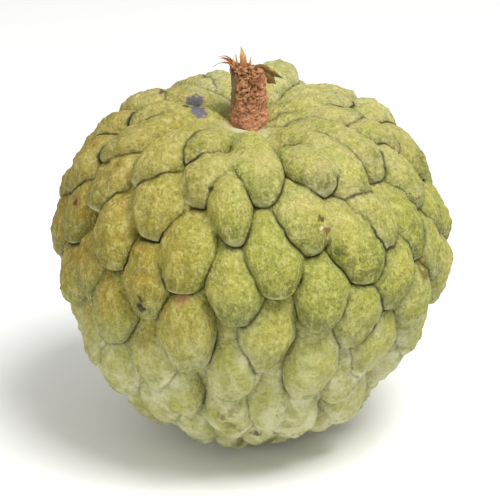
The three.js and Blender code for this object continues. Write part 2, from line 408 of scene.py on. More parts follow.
@dataclass(frozen=True)
class ScalePlace:
    """Where one scale's tip lies, and how the scale differs from the next.

    Attributes:
        turn: degrees of the tip from the front towards +X.
        distance: distance of the tip along the outline.
        size: size against a scale that has all the room it needs.
        twist: degrees that the scale is turned about its tip.
        rise: how far it stands out of the outline.
        tip_shift: how far the tip is drawn to one side.
        lean: rise of one flank above the other for each millimetre across.
        lift: rise of its tip.
        reaches_stem: whether it runs on to the stem.
        tip_up: rise that the whole scale shares out, from nothing at the root to this at the tip.
        girth: width against that of others of its size.
    """

    turn: float
    distance: float
    size: float
    twist: float
    rise: float
    tip_shift: float
    lean: float
    lift: float
    reaches_stem: bool = False
    tip_up: float = 0.0
    girth: float = 1.0


@dataclass(frozen=True)
class ScaleLayout:
    """The rule by which the scales are placed, ring after ring from the stem down.

    Attributes:
        full_ring: number of scales in a ring that has all the room it needs.
        ring_counts: scales in each ring.
        first_tips: distance of the first ring's tips along the outline.
        ring_step: distance from one ring's tips to the next's.
        taper_from: distance along the outline from which the steps shorten.
        taper_share: share of a step that follows the fruit's radius from there.
        front_turn: degrees that the first ring's front scale is turned to +X.
        stem_scales: scales round the stem: degrees from the front, distance of the tip along the
            outline, and how far the tip is raised.
        covered_within: degrees from one of those within which a root of the first ring is hidden.
        strays: scales out of line: ring, number in it, degrees aside, distance down and girth.
        roomy_spacing: room across that lets a scale reach its full size.
        least_size: size of a scale with no room.
        seed: picks the draws of the seven fields after it, which say how far they spread.
        slope_seed: picks the draws of the slopes.
    """

    full_ring: int = 14
    ring_counts: tuple[int, ...] = (14, 14, 14, 14, 14, 14, 12, 12, 10, 9, 7)
    first_tips: float = 39.5
    ring_step: float = 10.1
    taper_from: float = 85
    taper_share: float = 0.48
    front_turn: float = 6
    stem_scales: tuple[Place, ...] = (
        *((-27, 31, 0), (41, 43.5, 0), (90, 31, 0), (112, 28, 0)),
        *((163, 31, 4), (-164, 28, 1.5), (-128, 33, -1.2), (-94, 29, 0)),
    )
    covered_within: float = 11
    strays: tuple[tuple[int, int, float, float, float], ...] = (
        *((0, 0, 3, 1, 0.95), (1, 0, 3, -1, 0.76), (1, 12, 0, 6, 1), (1, 13, 0, 3, 1)),
        *((2, 11, -5, 1.5, 1), (4, 13, 2, -2, 1), (6, 0, 0, 4, 1), (6, 11, -2, -4, 1)),
    )
    roomy_spacing: float = 20
    least_size: float = 0.45
    seed: int = 643
    turn_spread: float = 3.2
    drop_spread: float = 1.6
    size_spread: float = 0.06
    twist_spread: float = 6
    rise_spread: float = 0.6
    tip_spread: float = 1.4
    slope_seed: int = 31
    lean_spread: float = 0.08
    lift_spread: float = 0.7

    def _hidden_root(self, turn: float) -> bool:
        """Whether a scale round the stem hides the root of a scale of the first ring."""
        gaps = (abs((turn - other + 180) % 360 - 180) for other, _, _ in self.stem_scales)
        return any(gap < self.covered_within for gap in gaps)

    def _place(
        self, chance: tuple[SeededDraws, SeededDraws], tip: Span, spacing: float, **given: float
    ) -> ScalePlace:
        """Draws how one scale differs from the next.

        Args:
            chance: draws for its place and size, and draws for its slopes.
            tip: degrees of its tip from the front, and distance along the outline.
            spacing: room that it has across.
            **given: what else sets it apart, by its name in ``ScalePlace``.

        Returns:
            The scale's place.
        """
        draws, slopes = chance
        roomy = self.least_size + (1 - self.least_size) * spacing / self.roomy_spacing
        return ScalePlace(
            turn=tip[0] + draws.spread(self.turn_spread),
            distance=tip[1] + draws.spread(self.drop_spread),
            size=min(1, roomy) * (1 + draws.spread(self.size_spread)),
            twist=draws.spread(self.twist_spread),
            rise=draws.spread(self.rise_spread),
            tip_shift=draws.spread(self.tip_spread),
            lean=slopes.spread(self.lean_spread),
            lift=slopes.spread(self.lift_spread),
            **given,
        )

    def places(self, outline: Outline) -> list[ScalePlace]:
        """Places every scale of the fruit.

        Args:
            outline: the fruit's outline.

        Returns:
            The scales round the stem, then each ring's.
        """
        chance = SeededDraws(self.seed), SeededDraws(self.slope_seed)
        found = []
        for turn, tip, tip_up in self.stem_scales:
            spacing = 2 * math.pi * outline.radius_at(tip) / self.full_ring
            found.append(self._place(chance, (turn, tip), spacing, reaches_stem=True, tip_up=tip_up))
        strays = {(ring, k): moved for ring, k, *moved in self.strays}
        tips = self.first_tips
        for ring, count in enumerate(self.ring_counts):
            offset = 0 if ring % 2 == 0 else 180 / count
            spacing = 2 * math.pi * outline.radius_at(tips) / count
            for k in range(count):
                aside, drop, girth = strays.get((ring, k), (0, 0, 1))
                turn = self.front_turn - offset - 360 * k / count
                whole = ring == 0 and not self._hidden_root(turn)
                tip = (turn + aside, tips + drop)
                found.append(self._place(chance, tip, spacing, reaches_stem=whole, girth=girth))
            narrowed = 1 - outline.radius_at(tips) / outline.widest_radius
            tips += self.ring_step * (1 if tips < self.taper_from else 1 - self.taper_share * narrowed)
        return found


@dataclass(frozen=True)
class ScaleForm:
    """Shape of one scale: a round body drawn out into a tongue that lies along the outline.

    Distances run back from the scale's tip. The fields down to ``lift_reach`` are the part's own.
    Those down to ``undercut_span`` shape what only shows close to: the step that a scale takes
    down under the tip of the one above it, the lumps on its back, by size and height, and the
    undercut of its own tip. The last ones say how fine its mesh is.
    """

    width: float = 13.5
    length: float = 28.5
    broadest_at: float = 9.2
    neck_at: float = 23.5
    neck_share: float = 0.8
    tip_share: float = 0.48
    tip_corner: float = 1.1
    tip_bulge: float = 1.25
    section_rounding: float = 0.8
    half_thickness: float = 5
    nose_drop: float = 2.2
    nose_length: float = 6
    nose_round: float = 1.5
    root_slope: float = 0.12
    root_fall: float = 1.6
    root_fall_at: float = 12
    root_closes: float = 4
    stem_root_closes: float = 2
    under_depth: float = 4
    level_share: float = 0.25
    stem_end: float = 1.5
    lift_reach: float = 13.2
    dip: float = 0.9
    dip_span: Span = (15.5, 20.5)
    lumps: tuple[Span, ...] = ((6.5, 0.7), (2.8, 0.42), (1.5, 0.22))
    lump_squash: float = 0.4
    undercut: float = 1.1
    undercut_span: Span = (0.5, 3.5)
    top_sides: int = 27
    under_sides: int = 8
    nose_stations: tuple[float, ...] = (0.12, 0.35, 0.7, 1.15)
    fine_from: float = 1.7
    fine_step: float = 0.71
    fine_until: float = 18
    coarse_step: float = 1.5
    end_gap: float = 0.15

    def _section(self, turn: Array) -> tuple[Array, Array]:
        """Share of the way to a flank and up to the top at angles round the cross-section."""
        side, up = -np.cos(turn), np.sin(turn)
        return tuple(np.sign(part) * np.abs(part) ** self.section_rounding for part in (side, up))

    @cached_property
    def _turns(self) -> Array:
        """Angles round the cross-section, set evenly over its top and sparsely under it.

        Returns:
            The angles.
        """
        dense = np.linspace(0, np.pi, 721)
        side, up = self._section(dense)
        stretches = np.hypot(np.diff(side) * self.width / 2, np.diff(up) * self.half_thickness)
        travelled = np.concatenate([[0], np.cumsum(stretches)])
        top = np.interp(np.linspace(0, travelled[-1], self.top_sides + 1), travelled, dense)
        under = np.linspace(np.pi, 2 * np.pi, self.under_sides + 1)
        return np.concatenate([top, under[1:-1]])

    def _stations(self, length: float, level: bool) -> Array:
        """Distances from the tip at which the scale has a ring of points.

        Args:
            length: the scale's length.
            level: whether it runs on to the stem.

        Returns:
            The distances, from the tip to the root.
        """
        fine_until = length - self.stem_root_closes if level else self.fine_until
        fine = np.arange(self.fine_from, fine_until, self.fine_step)
        coarse = np.arange(fine[-1] + self.coarse_step, length - 2 * self.end_gap, self.coarse_step)
        return np.concatenate(
            [[0], self.nose_stations, fine, coarse, [length - self.end_gap, length]]
        )

    def points(self, place: ScalePlace, outline: Outline, seed: int) -> tuple[Array, Array]:
        """Points of one scale, with where each lies on it.

        Args:
            place: the scale's place on the fruit.
            outline: the fruit's outline.
            seed: picks the lumps on its back.

        Returns:
            The points, in the order that ``tube_faces`` takes, and for each of them its distance
            from the tip and its share of the way from the middle to a flank.
        """
        level = place.reaches_stem
        length = place.distance - self.stem_end if level else self.length
        from_tip, turn = np.meshgrid(self._stations(length, level), self._turns, indexing="ij")
        girth = np.sqrt(np.clip(1 - (1 - 2 * from_tip / length) ** 2, 0, 1))
        side, up = self._section(turn)
        upper = np.clip(up, 0, 1)

        behind = np.clip(from_tip - self.broadest_at, 0, None)
        root_closes = self.stem_root_closes if level else self.root_closes
        rooted = 1 - eased(from_tip, length - root_closes, length)
        narrowed = 1 - (1 - self.neck_share) * eased(from_tip, self.broadest_at, self.neck_at)
        flared = 1 - np.clip(1 - from_tip / self.broadest_at, 0, 1) ** self.tip_bulge
        tip = (self.tip_share + (1 - self.tip_share) * flared) * blunt(from_tip, self.tip_corner)
        plan = tip * narrowed * rooted * place.girth
        shift = place.tip_shift * (1 - eased(from_tip, 0, self.broadest_at))
        across = side * self.width / 2 * place.size * plan + shift

        fall_share = self.level_share if level else 1
        curved_fall = self.root_fall * (behind / self.root_fall_at) ** 2
        fall = fall_share * (self.root_slope * behind + curved_fall)
        dip = 0 if level else self.dip * eased(from_tip, *self.dip_span)
        nose = self.nose_drop * np.clip(1 - from_tip / self.nose_length, 0, None) ** 2
        opened = rooted * blunt(from_tip, self.nose_round)
        top_rise = (self.half_thickness - nose) * opened
        raised = np.where(up > 0, up * top_rise, up * girth * self.under_depth)
        height = raised - self.half_thickness - fall - dip

        local = np.stack([across, from_tip * place.size, height * self.lump_squash], axis=-1)
        (broad, broad_depth), *rest = self.lumps
        lumps = broad_depth * Lumps(broad, seed * 7).at(local) + sum(
            depth * Lumps(size, seed * 7 + k).ridged(local) for k, (size, depth) in enumerate(rest, 1)
        )
        slope = place.lean * across + place.lift * (1 - eased(from_tip, 0, self.lift_reach))
        height = height + slope + lumps * opened * upper**0.5

        along = from_tip * (1 if level else place.size)
        near_tip = 1 - eased(from_tip, *self.undercut_span)
        along = along + self.undercut * near_tip * (1 - upper) * opened
        twist = math.radians(place.twist)
        turned_across = across * math.cos(twist) + along * math.sin(twist)
        turned_along = along * math.cos(twist) - across * math.sin(twist)
        radius, level_at, out, upward = outline.at(place.distance - turned_along)
        risen = place.rise + place.tip_up * (1 - from_tip / length)
        lift = height + risen - turned_across**2 / (2 * outline.widest_radius)
        grid = outline.place(place.turn, turned_across, radius + out * lift, level_at + upward * lift)
        return capped(grid), capped(np.stack([from_tip, side], axis=-1))

    def mesh(self, name: str, place: ScalePlace, outline: Outline, seed: int) -> Mesh:
        """Makes one scale's closed mesh, marked for the skin's finish.

        Args:
            name: the mesh's name.
            place: the scale's place on the fruit.
            outline: the fruit's outline.
            seed: the scale's number, which picks its lumps and tones.

        Returns:
            The mesh.
        """
        points, lie = self.points(place, outline, seed)
        sides = len(self._turns)
        mesh = mesh_of(name, points, tube_faces((len(points) - 2) // sides, sides))
        draws = SeededDraws(seed * 31 + 5)
        mark(mesh, seed, lie, (draws.draw(), draws.draw(), draws.draw()))
        return mesh


def mark(mesh: Mesh, owner: int, lie: Array, tone: Sequence[float]) -> None:
    """Marks a mesh so that its surface can be told from others once they are joined.

    Args:
        mesh: the mesh.
        owner: number of the scale, or below 0 for what isn't one.
        lie: for each point, its distance from the scale's tip and its share of the way from the
            middle to a flank.
        tone: three random shares that belong to the scale.
    """
    corners = read(mesh.loops, "vertex_index", 1, np.int32)
    spare = np.zeros((len(corners), 1))
    store(mesh, "owner", "INT", "FACE", np.full(len(mesh.polygons), owner, np.int32))
    store(mesh, "lie", "FLOAT_VECTOR", "CORNER", np.hstack([lie[corners], spare]).astype(np.float32))
    tones = np.tile(np.array(tone, np.float32), (len(corners), 1))
    store(mesh, "tone", "FLOAT_VECTOR", "CORNER", tones)


# ---- Shader wiring ----


class Wiring:
    """Adds nodes to one node tree and joins them up.

    A socket, a number, a vector or a colour can be given wherever a node needs a value.
    """

    def __init__(self, tree: Tree) -> None:
        """Works on the given tree."""
        self.tree = tree

    def feed(self, socket: Socket, value: Value) -> None:
        """Gives an input its value.

        Args:
            socket: the input.
            value: a socket to link, or the number, vector or colour to set.
        """
        if isinstance(value, Socket):
            self.tree.links.new(value, socket)
        elif isinstance(value, (int, float)):
            socket.default_value = value
        elif socket.type == "RGBA" and len(value) == 3:
            socket.default_value = (*value, 1.0)
        else:
            socket.default_value = tuple(value)

    def node(
        self, kind: str, inputs: dict[str | int, Value] | None = None, **settings: object
    ) -> Node:
        """Adds a node.

        Args:
            kind: Blender's name for the node's type.
            inputs: values for its inputs, by name or number.
            **settings: properties of the node.

        Returns:
            The node.
        """
        made = self.tree.nodes.new(kind)
        for name, setting in settings.items():
            setattr(made, name, setting)
        for key, value in (inputs or {}).items():
            self.feed(made.inputs[key], value)
        return made

    def sum(self, op: Op, first: Value, second: Value = 0.0) -> Socket:
        """Result of a sum of two values."""
        return self.node("ShaderNodeMath", {0: first, 1: second}, operation=op.value).outputs[0]

    def times(self, *values: Value) -> Value:
        """Product of all the values.

        Args:
            *values: sockets or numbers.

        Returns:
            The product.
        """
        result = values[0]
        for value in values[1:]:
            result = self.sum(Op.MULTIPLY, result, value)
        return result

    def step(
        self, value: Value, start: Value, end: Value, low: float = 0.0, high: float = 1.0
    ) -> Socket:
        """Smooth step of a value.

        Args:
            value: the value.
            start: where the step starts.
            end: where it ends.
            low: result at the start and before it.
            high: result at the end and past it.

        Returns:
            The result's socket.
        """
        inputs = {"Value": value, "From Min": start, "From Max": end, "To Min": low, "To Max": high}
        made = self.node("ShaderNodeMapRange", inputs, interpolation_type="SMOOTHSTEP")
        return made.outputs["Result"]

    def blend(self, share: Value, under: Value, over: Value) -> Socket:
        """Lays one colour over another by a share from 0 to 1.

        Args:
            share: how far the upper colour hides the lower one.
            under: the lower colour.
            over: the upper colour.

        Returns:
            The result's socket.
        """
        made = self.node("ShaderNodeMix", data_type="RGBA")
        for number, value in ((0, share), (6, under), (7, over)):
            self.feed(made.inputs[number], value)
        return made.outputs[2]

    def apart(self, vector: Value) -> tuple[Socket, Socket, Socket]:
        """The three parts of a vector."""
        return tuple(self.node("ShaderNodeSeparateXYZ", {0: vector}).outputs)

    def stored(self, name: str, output: str = "Vector") -> Socket:
        """Values that a mesh keeps under a name."""
        return self.node("ShaderNodeAttribute", attribute_name=name).outputs[output]

    def position(self, stretch: Place = (1, 1, 1)) -> Socket:
        """Place on the object in millimetres, squashed along the axes by shares.

        Args:
            stretch: share of a distance along X, Y and Z that counts.

        Returns:
            The place's socket.
        """
        where = self.node("ShaderNodeTexCoord").outputs["Object"]
        scale = [part / MM for part in stretch]
        return self.node("ShaderNodeVectorMath", {0: where, 1: scale}, operation="MULTIPLY").outputs[0]


class Effects:
    """The effects that the finishes use, each built once as a node group."""

    DOT_SIZES = (0.4, 1.2)  # least and greatest size of a dot, as a share of its reach
    SWING = 4.0  # how far the edge of a fully ragged patch swings
    DENTS = 0.45  # height of the pebbles against the wrinkles

    def __init__(self) -> None:
        """Builds every effect."""
        mottle = {"Size": 2.0, "Roughness": 0.55, "Softness": 0.15, "Level": 0.5}
        specks = {"Spacing": 1.0, "Reach": 0.3, "Share": 0.5}
        blemish = {"Centre": (0, 0, 0), "Reach": 2.0, "Ragged": 0.5, "Edge": 0.4}
        self.mottle = self._build("Mottle", mottle, self._mottle)
        self.specks = self._build("Specks", specks, self._specks)
        self.blemish = self._build("Blemish", blemish, self._blemish)
        self.grain = self._build("Grain", {"Pebble": 0.8, "Wrinkle": 2.0}, self._grain)

    def _build(
        self,
        name: str,
        inputs: dict[str, float | Place],
        fill: Callable[[Wiring, dict[str, Socket]], dict[str, Socket]],
    ) -> Tree:
        """Makes a node group.

        Args:
            name: the group's name.
            inputs: default value of each input besides the position, by name.
            fill: adds the nodes, given the inputs' sockets, and returns each output's socket.

        Returns:
            The group.
        """
        tree = bpy.data.node_groups.new(name, "ShaderNodeTree")
        for label, value in {"Position": (0, 0, 0), **inputs}.items():
            kind = "NodeSocketFloat" if isinstance(value, float) else "NodeSocketVector"
            made = tree.interface.new_socket(label, in_out="INPUT", socket_type=kind)
            made.default_value = value
        wiring = Wiring(tree)
        entry = wiring.node("NodeGroupInput")
        results = fill(wiring, {label: entry.outputs[label] for label in ("Position", *inputs)})
        for label in results:
            tree.interface.new_socket(label, in_out="OUTPUT", socket_type="NodeSocketFloat")
        wiring.node("NodeGroupOutput", results)
        return tree

    @staticmethod
    def _mottle(w: Wiring, given: dict[str, Socket]) -> dict[str, Socket]:
        """Cloudy patches of a size, as a plain value and as a mask cut at a level.

        Args:
            w: wiring of the group.
            given: sockets of its inputs, by name.

        Returns:
            Sockets of its outputs, by name.
        """
        scale = w.sum(Op.DIVIDE, 1.0, given["Size"])
        inputs = {"Vector": given["Position"], "Scale": scale, "Detail": 3.0}
        noise = w.node("ShaderNodeTexNoise", {**inputs, "Roughness": given["Roughness"]})
        value = noise.outputs["Fac"]
        low = w.sum(Op.SUBTRACT, given["Level"], given["Softness"])
        high = w.sum(Op.ADD, given["Level"], given["Softness"])
        return {"Mask": w.step(value, low, high), "Value": value}

    @staticmethod
    def _specks(w: Wiring, given: dict[str, Socket]) -> dict[str, Socket]:
        """Small soft dots of uneven size, with some of them missing.

        Args:
            w: wiring of the group.
            given: sockets of its inputs, by name.

        Returns:
            Sockets of its outputs, by name.
        """
        scale = w.sum(Op.DIVIDE, 1.0, given["Spacing"])
        cells = w.node("ShaderNodeTexVoronoi", {"Vector": given["Position"], "Scale": scale})
        chance, size, _ = w.apart(cells.outputs["Color"])
        reach = w.times(given["Reach"], w.step(size, 0, 1, *Effects.DOT_SIZES))
        near = w.step(cells.outputs["Distance"], reach, 0.0)
        return {"Mask": w.times(near, w.sum(Op.LESS_THAN, chance, given["Share"]))}

    @staticmethod
    def _blemish(w: Wiring, given: dict[str, Socket]) -> dict[str, Socket]:
        """A single patch round a centre, with a ragged edge.

        Args:
            w: wiring of the group.
            given: sockets of its inputs, by name.

        Returns:
            Sockets of its outputs, by name.
        """
        noise = w.node("ShaderNodeTexNoise", {"Vector": given["Position"], "Scale": 0.9, "Detail": 3.0})
        swing = w.times(w.sum(Op.SUBTRACT, noise.outputs["Fac"], 0.5), given["Ragged"], Effects.SWING)
        ends = {0: given["Position"], 1: given["Centre"]}
        away = w.node("ShaderNodeVectorMath", ends, operation="DISTANCE").outputs["Value"]
        inner = w.times(given["Reach"], w.sum(Op.SUBTRACT, 1.0, given["Edge"]))
        return {"Mask": w.step(w.sum(Op.ADD, away, swing), given["Reach"], inner)}

    @staticmethod
    def _grain(w: Wiring, given: dict[str, Socket]) -> dict[str, Socket]:
        """Height of a pebbled, faintly wrinkled surface.

        Args:
            w: wiring of the group.
            given: sockets of its inputs, by name.

        Returns:
            Sockets of its outputs, by name.
        """
        pebble = w.sum(Op.DIVIDE, 1.0, given["Pebble"])
        wrinkle = w.sum(Op.DIVIDE, 1.0, given["Wrinkle"])
        inputs = {"Vector": given["Position"], "Scale": pebble, "Smoothness": 0.6}
        cells = w.node("ShaderNodeTexVoronoi", inputs, feature="SMOOTH_F1")
        inputs = {"Vector": given["Position"], "Scale": wrinkle, "Detail": 5.0}
        folds = w.node("ShaderNodeTexNoise", {**inputs, "Roughness": 0.62, "Distortion": 0.6})
        dents = w.times(cells.outputs["Distance"], Effects.DENTS)
        return {"Height": w.sum(Op.SUBTRACT, folds.outputs["Fac"], dents)}


# ---- Finishes ----


@dataclass(frozen=True)
class Mottling:
    """How cloudy patches look.

    Attributes:
        size: distance across a patch.
        roughness: how much finer detail a patch has.
        softness: how softly it fades at its edge.
        level: the higher, the fewer patches there are.
        stretch: share of a distance along X, Y and Z that counts, so patches are longer where it
            is small.
    """

    size: float
    roughness: float = 0.55
    softness: float = 0.15
    level: float = 0.5
    stretch: Place = (1, 1, 1)


@dataclass(frozen=True)
class Specks:
    """How small dots look: how far apart they lie, their size against that, and their share."""

    spacing: float
    reach: float
    share: float


class Finish(Wiring):
    """Wiring of one material with a Principled shader."""

    def __init__(self, name: str, colour: Colour, effects: Effects) -> None:
        """Makes the material.

        Args:
            name: its name.
            colour: its plain colour in the viewport.
            effects: the shared effects.
        """
        self.material = bpy.data.materials.new(name)
        self.material.use_nodes = True
        self.material.diffuse_color = (*colour, 1.0)
        self.effects = effects
        super().__init__(self.material.node_tree)

    def effect(self, group: Tree, stretch: Place, **inputs: Value) -> Node:
        """Places a shared effect with its own values.

        Args:
            group: the effect.
            stretch: share of a distance along X, Y and Z that counts.
            **inputs: values for its inputs, by name.

        Returns:
            The effect's node.
        """
        made = self.node("ShaderNodeGroup", node_tree=group)
        for name, value in {"Position": self.position(stretch), **inputs}.items():
            self.feed(made.inputs[name], value)
        return made

    def mottle(self, look: Mottling) -> tuple[Socket, Socket]:
        """Cloudy patches, as a mask and as a plain value.

        Args:
            look: how they look.

        Returns:
            The mask's socket and the value's.
        """
        made = self.effect(
            self.effects.mottle,
            look.stretch,
            Size=look.size,
            Roughness=look.roughness,
            Softness=look.softness,
            Level=look.level,
        )
        return made.outputs["Mask"], made.outputs["Value"]

    def specks(self, look: Specks) -> Socket:
        """Small dots, as a mask."""
        given = {"Spacing": look.spacing, "Reach": look.reach, "Share": look.share}
        return self.effect(self.effects.specks, (1, 1, 1), **given).outputs["Mask"]

    def grain(self, pebble: float, wrinkle: float, stretch: Place = (1, 1, 1)) -> Socket:
        """Height of a grainy surface with pebbles and wrinkles of the given sizes."""
        made = self.effect(self.effects.grain, stretch, Pebble=pebble, Wrinkle=wrinkle)
        return made.outputs["Height"]

    def surface(
        self,
        colour: Value,
        roughness: Value,
        specular: float,
        bump: tuple[Value, float, float] | None = None,
    ) -> Material:
        """Gives the shader its values.

        Args:
            colour: base colour.
            roughness: how matt it is.
            specular: how strongly it shines.
            bump: height of its relief, the relief's strength and its depth in millimetres.

        Returns:
            The finished material.
        """
        shader = self.tree.nodes["Principled BSDF"]
        values = {"Base Color": colour, "Roughness": roughness, "Specular IOR Level": specular}
        if bump:
            height, strength, depth = bump
            inputs = {"Strength": strength, "Distance": depth * MM, "Height": height}
            values["Normal"] = self.node("ShaderNodeBump", inputs).outputs["Normal"]
        for name, value in values.items():
            self.feed(shader.inputs[name], value)
        return self.material


class Measure(Enum):
    """What a tint of the skin can go by."""

    SIDE = "place along X"
    BACK = "place along Y"
    HEIGHT = "height above the floor"
    TIP = "distance from the scale's tip"
    TONE_A = "the scale's first random share"
    TONE_B = "the scale's second random share"
    TONE_C = "the scale's third random share"
    CREASE = "distance from the nearest crease"
    SEAM = "how far that crease is from the tip of the scale on top"
    FUSED = "how far the scales have grown together there"
    FREE = "how far they are free of each other there"
    CROWN = "how far up the back of a scale"
    YELLOW = "how yellow the skin is by chance"
    WARM = "how ochre the skin is"
    # Low down this measure also carries painted light bounced up from the floor.
    BLOOM = "how mealy the skin is"


@dataclass(frozen=True)
class By:
    """Smooth step of a measure.

    Attributes:
        what: the measure or patches that it goes by.
        start: where the step starts.
        end: where it ends.
        low: what it gives at the start and before it.
        high: what it gives at the end and past it.
    """

    what: Measure | Mottling
    start: float
    end: float
    low: float = 0.0
    high: float = 1.0


Factor = By | Measure | Mottling | Specks | float


@dataclass(frozen=True)
class Tint:
    """One colour laid over the skin.

    Attributes:
        colour: the colour.
        factors: its share is the product of what these give.
        other: colour that it turns into, if any.
        turning: how far it has turned into that.
    """

    colour: Colour
    factors: tuple[Factor, ...]
    other: Colour | None = None
    turning: By | None = None


@dataclass(frozen=True)
class Mark:
    """One mark on the skin.

    Attributes:
        centre: the middle of the mark.
        reach: distance from there to its edge.
        colour: its colour, as a screen colour.
        cover: how far it hides the skin, from 0 to 1.
        ragged: how ragged its edge is.
        edge: share of its reach over which it fades.
    """

    centre: Place
    reach: float
    colour: str
    cover: float
    ragged: float
    edge: float


class SkinWiring(Finish):
    """Wiring of the skin's material, which keeps what its tints go by in ``found``."""

    def __init__(self, name: str, colour: Colour, effects: Effects) -> None:
        """Makes the material and reads the places and the stored values of its mesh.

        Args:
            name: its name.
            colour: its plain colour in the viewport.
            effects: the shared effects.
        """
        super().__init__(name, colour, effects)
        values = [*self.apart(self.position()), self.apart(self.stored("lie"))[0]]
        values += [*self.apart(self.stored("tone")), *self.apart(self.stored("crease"))]
        self.found: dict[Factor, Value] = dict(zip(Measure, values))

    def give(self, factor: Factor) -> Value:
        """What one factor gives.

        Args:
            factor: the factor.

        Returns:
            Its socket, or the number itself.
        """
        if isinstance(factor, By):
            given = self.give(factor.what)
            return self.step(given, factor.start, factor.end, factor.low, factor.high)
        if isinstance(factor, Mottling) and factor not in self.found:
            self.found[factor] = self.mottle(factor)[0]
        if isinstance(factor, Specks) and factor not in self.found:
            self.found[factor] = self.specks(factor)
        return self.found.get(factor, factor)

    def product(self, factors: Sequence[Factor]) -> Value:
        """Product of what some factors give."""
        return self.times(*map(self.give, factors))

    def joined(self, op: Op, parts: Sequence[Sequence[Factor]]) -> Value:
        """Puts several products together.

        Args:
            op: the sum that does it.
            parts: the factors of each product.

        Returns:
            The result.
        """
        result = self.product(parts[0])
        for factors in parts[1:]:
            result = self.sum(op, result, self.product(factors))
        return result


SIDE, BACK, HEIGHT, TIP, CREASE = Measure.SIDE, Measure.BACK, Measure.HEIGHT, Measure.TIP, Measure.CREASE
SEAM, FUSED, WARM, TONE_B = Measure.SEAM, Measure.FUSED, Measure.WARM, Measure.TONE_B

# The deeper green is both the skin's own darker tone and painted shade.
GREEN, DEEP_GREEN_AND_SHADE = srgb("8d8f38"), srgb("545920")
# Painted shade for the creases between scales: very dark, and browner low down.
CREASE_SHADE, LOW_CREASE_SHADE = srgb("26210a"), srgb("4a3f1c")

CLOUDS = Mottling(8, softness=0.16)
WARM_SPOTS = Mottling(6, softness=0.16, level=0.46)
BLOTCHES = Mottling(3.4, 0.72, 0.1, 0.49)
FINE = Mottling(1.1, 0.75, 0.12)
MEALY = Mottling(4.5, 0.66, 0.24)
DUSTY = Mottling(5, 0.7)
STREAKS = Mottling(1.3, 0.8, 0.07, 0.55, (1, 1, 0.45))
FLECKS = Mottling(0.9, 0.8, 0.08, 0.58, (1, 1, 0.6))
GAPS = Mottling(7, softness=0.16)
DOTS, PORES = Specks(0.62, 0.5, 0.4), Specks(1.7, 0.22, 0.4)

MIDDLING = By(HEIGHT, 24, 50, 0.3)
HIGH = By(HEIGHT, 66, 80)
# How far the painted crease shade shows: fainter low down, broken in places, and gone where scales have
# grown together.
CREASE_SHADE_SHOWN = (By(HEIGHT, 18, 50, 0.25), By(GAPS, 0, 1, 0.45), Measure.FREE)
BROWN_BELOW = By(HEIGHT, 22, 50)


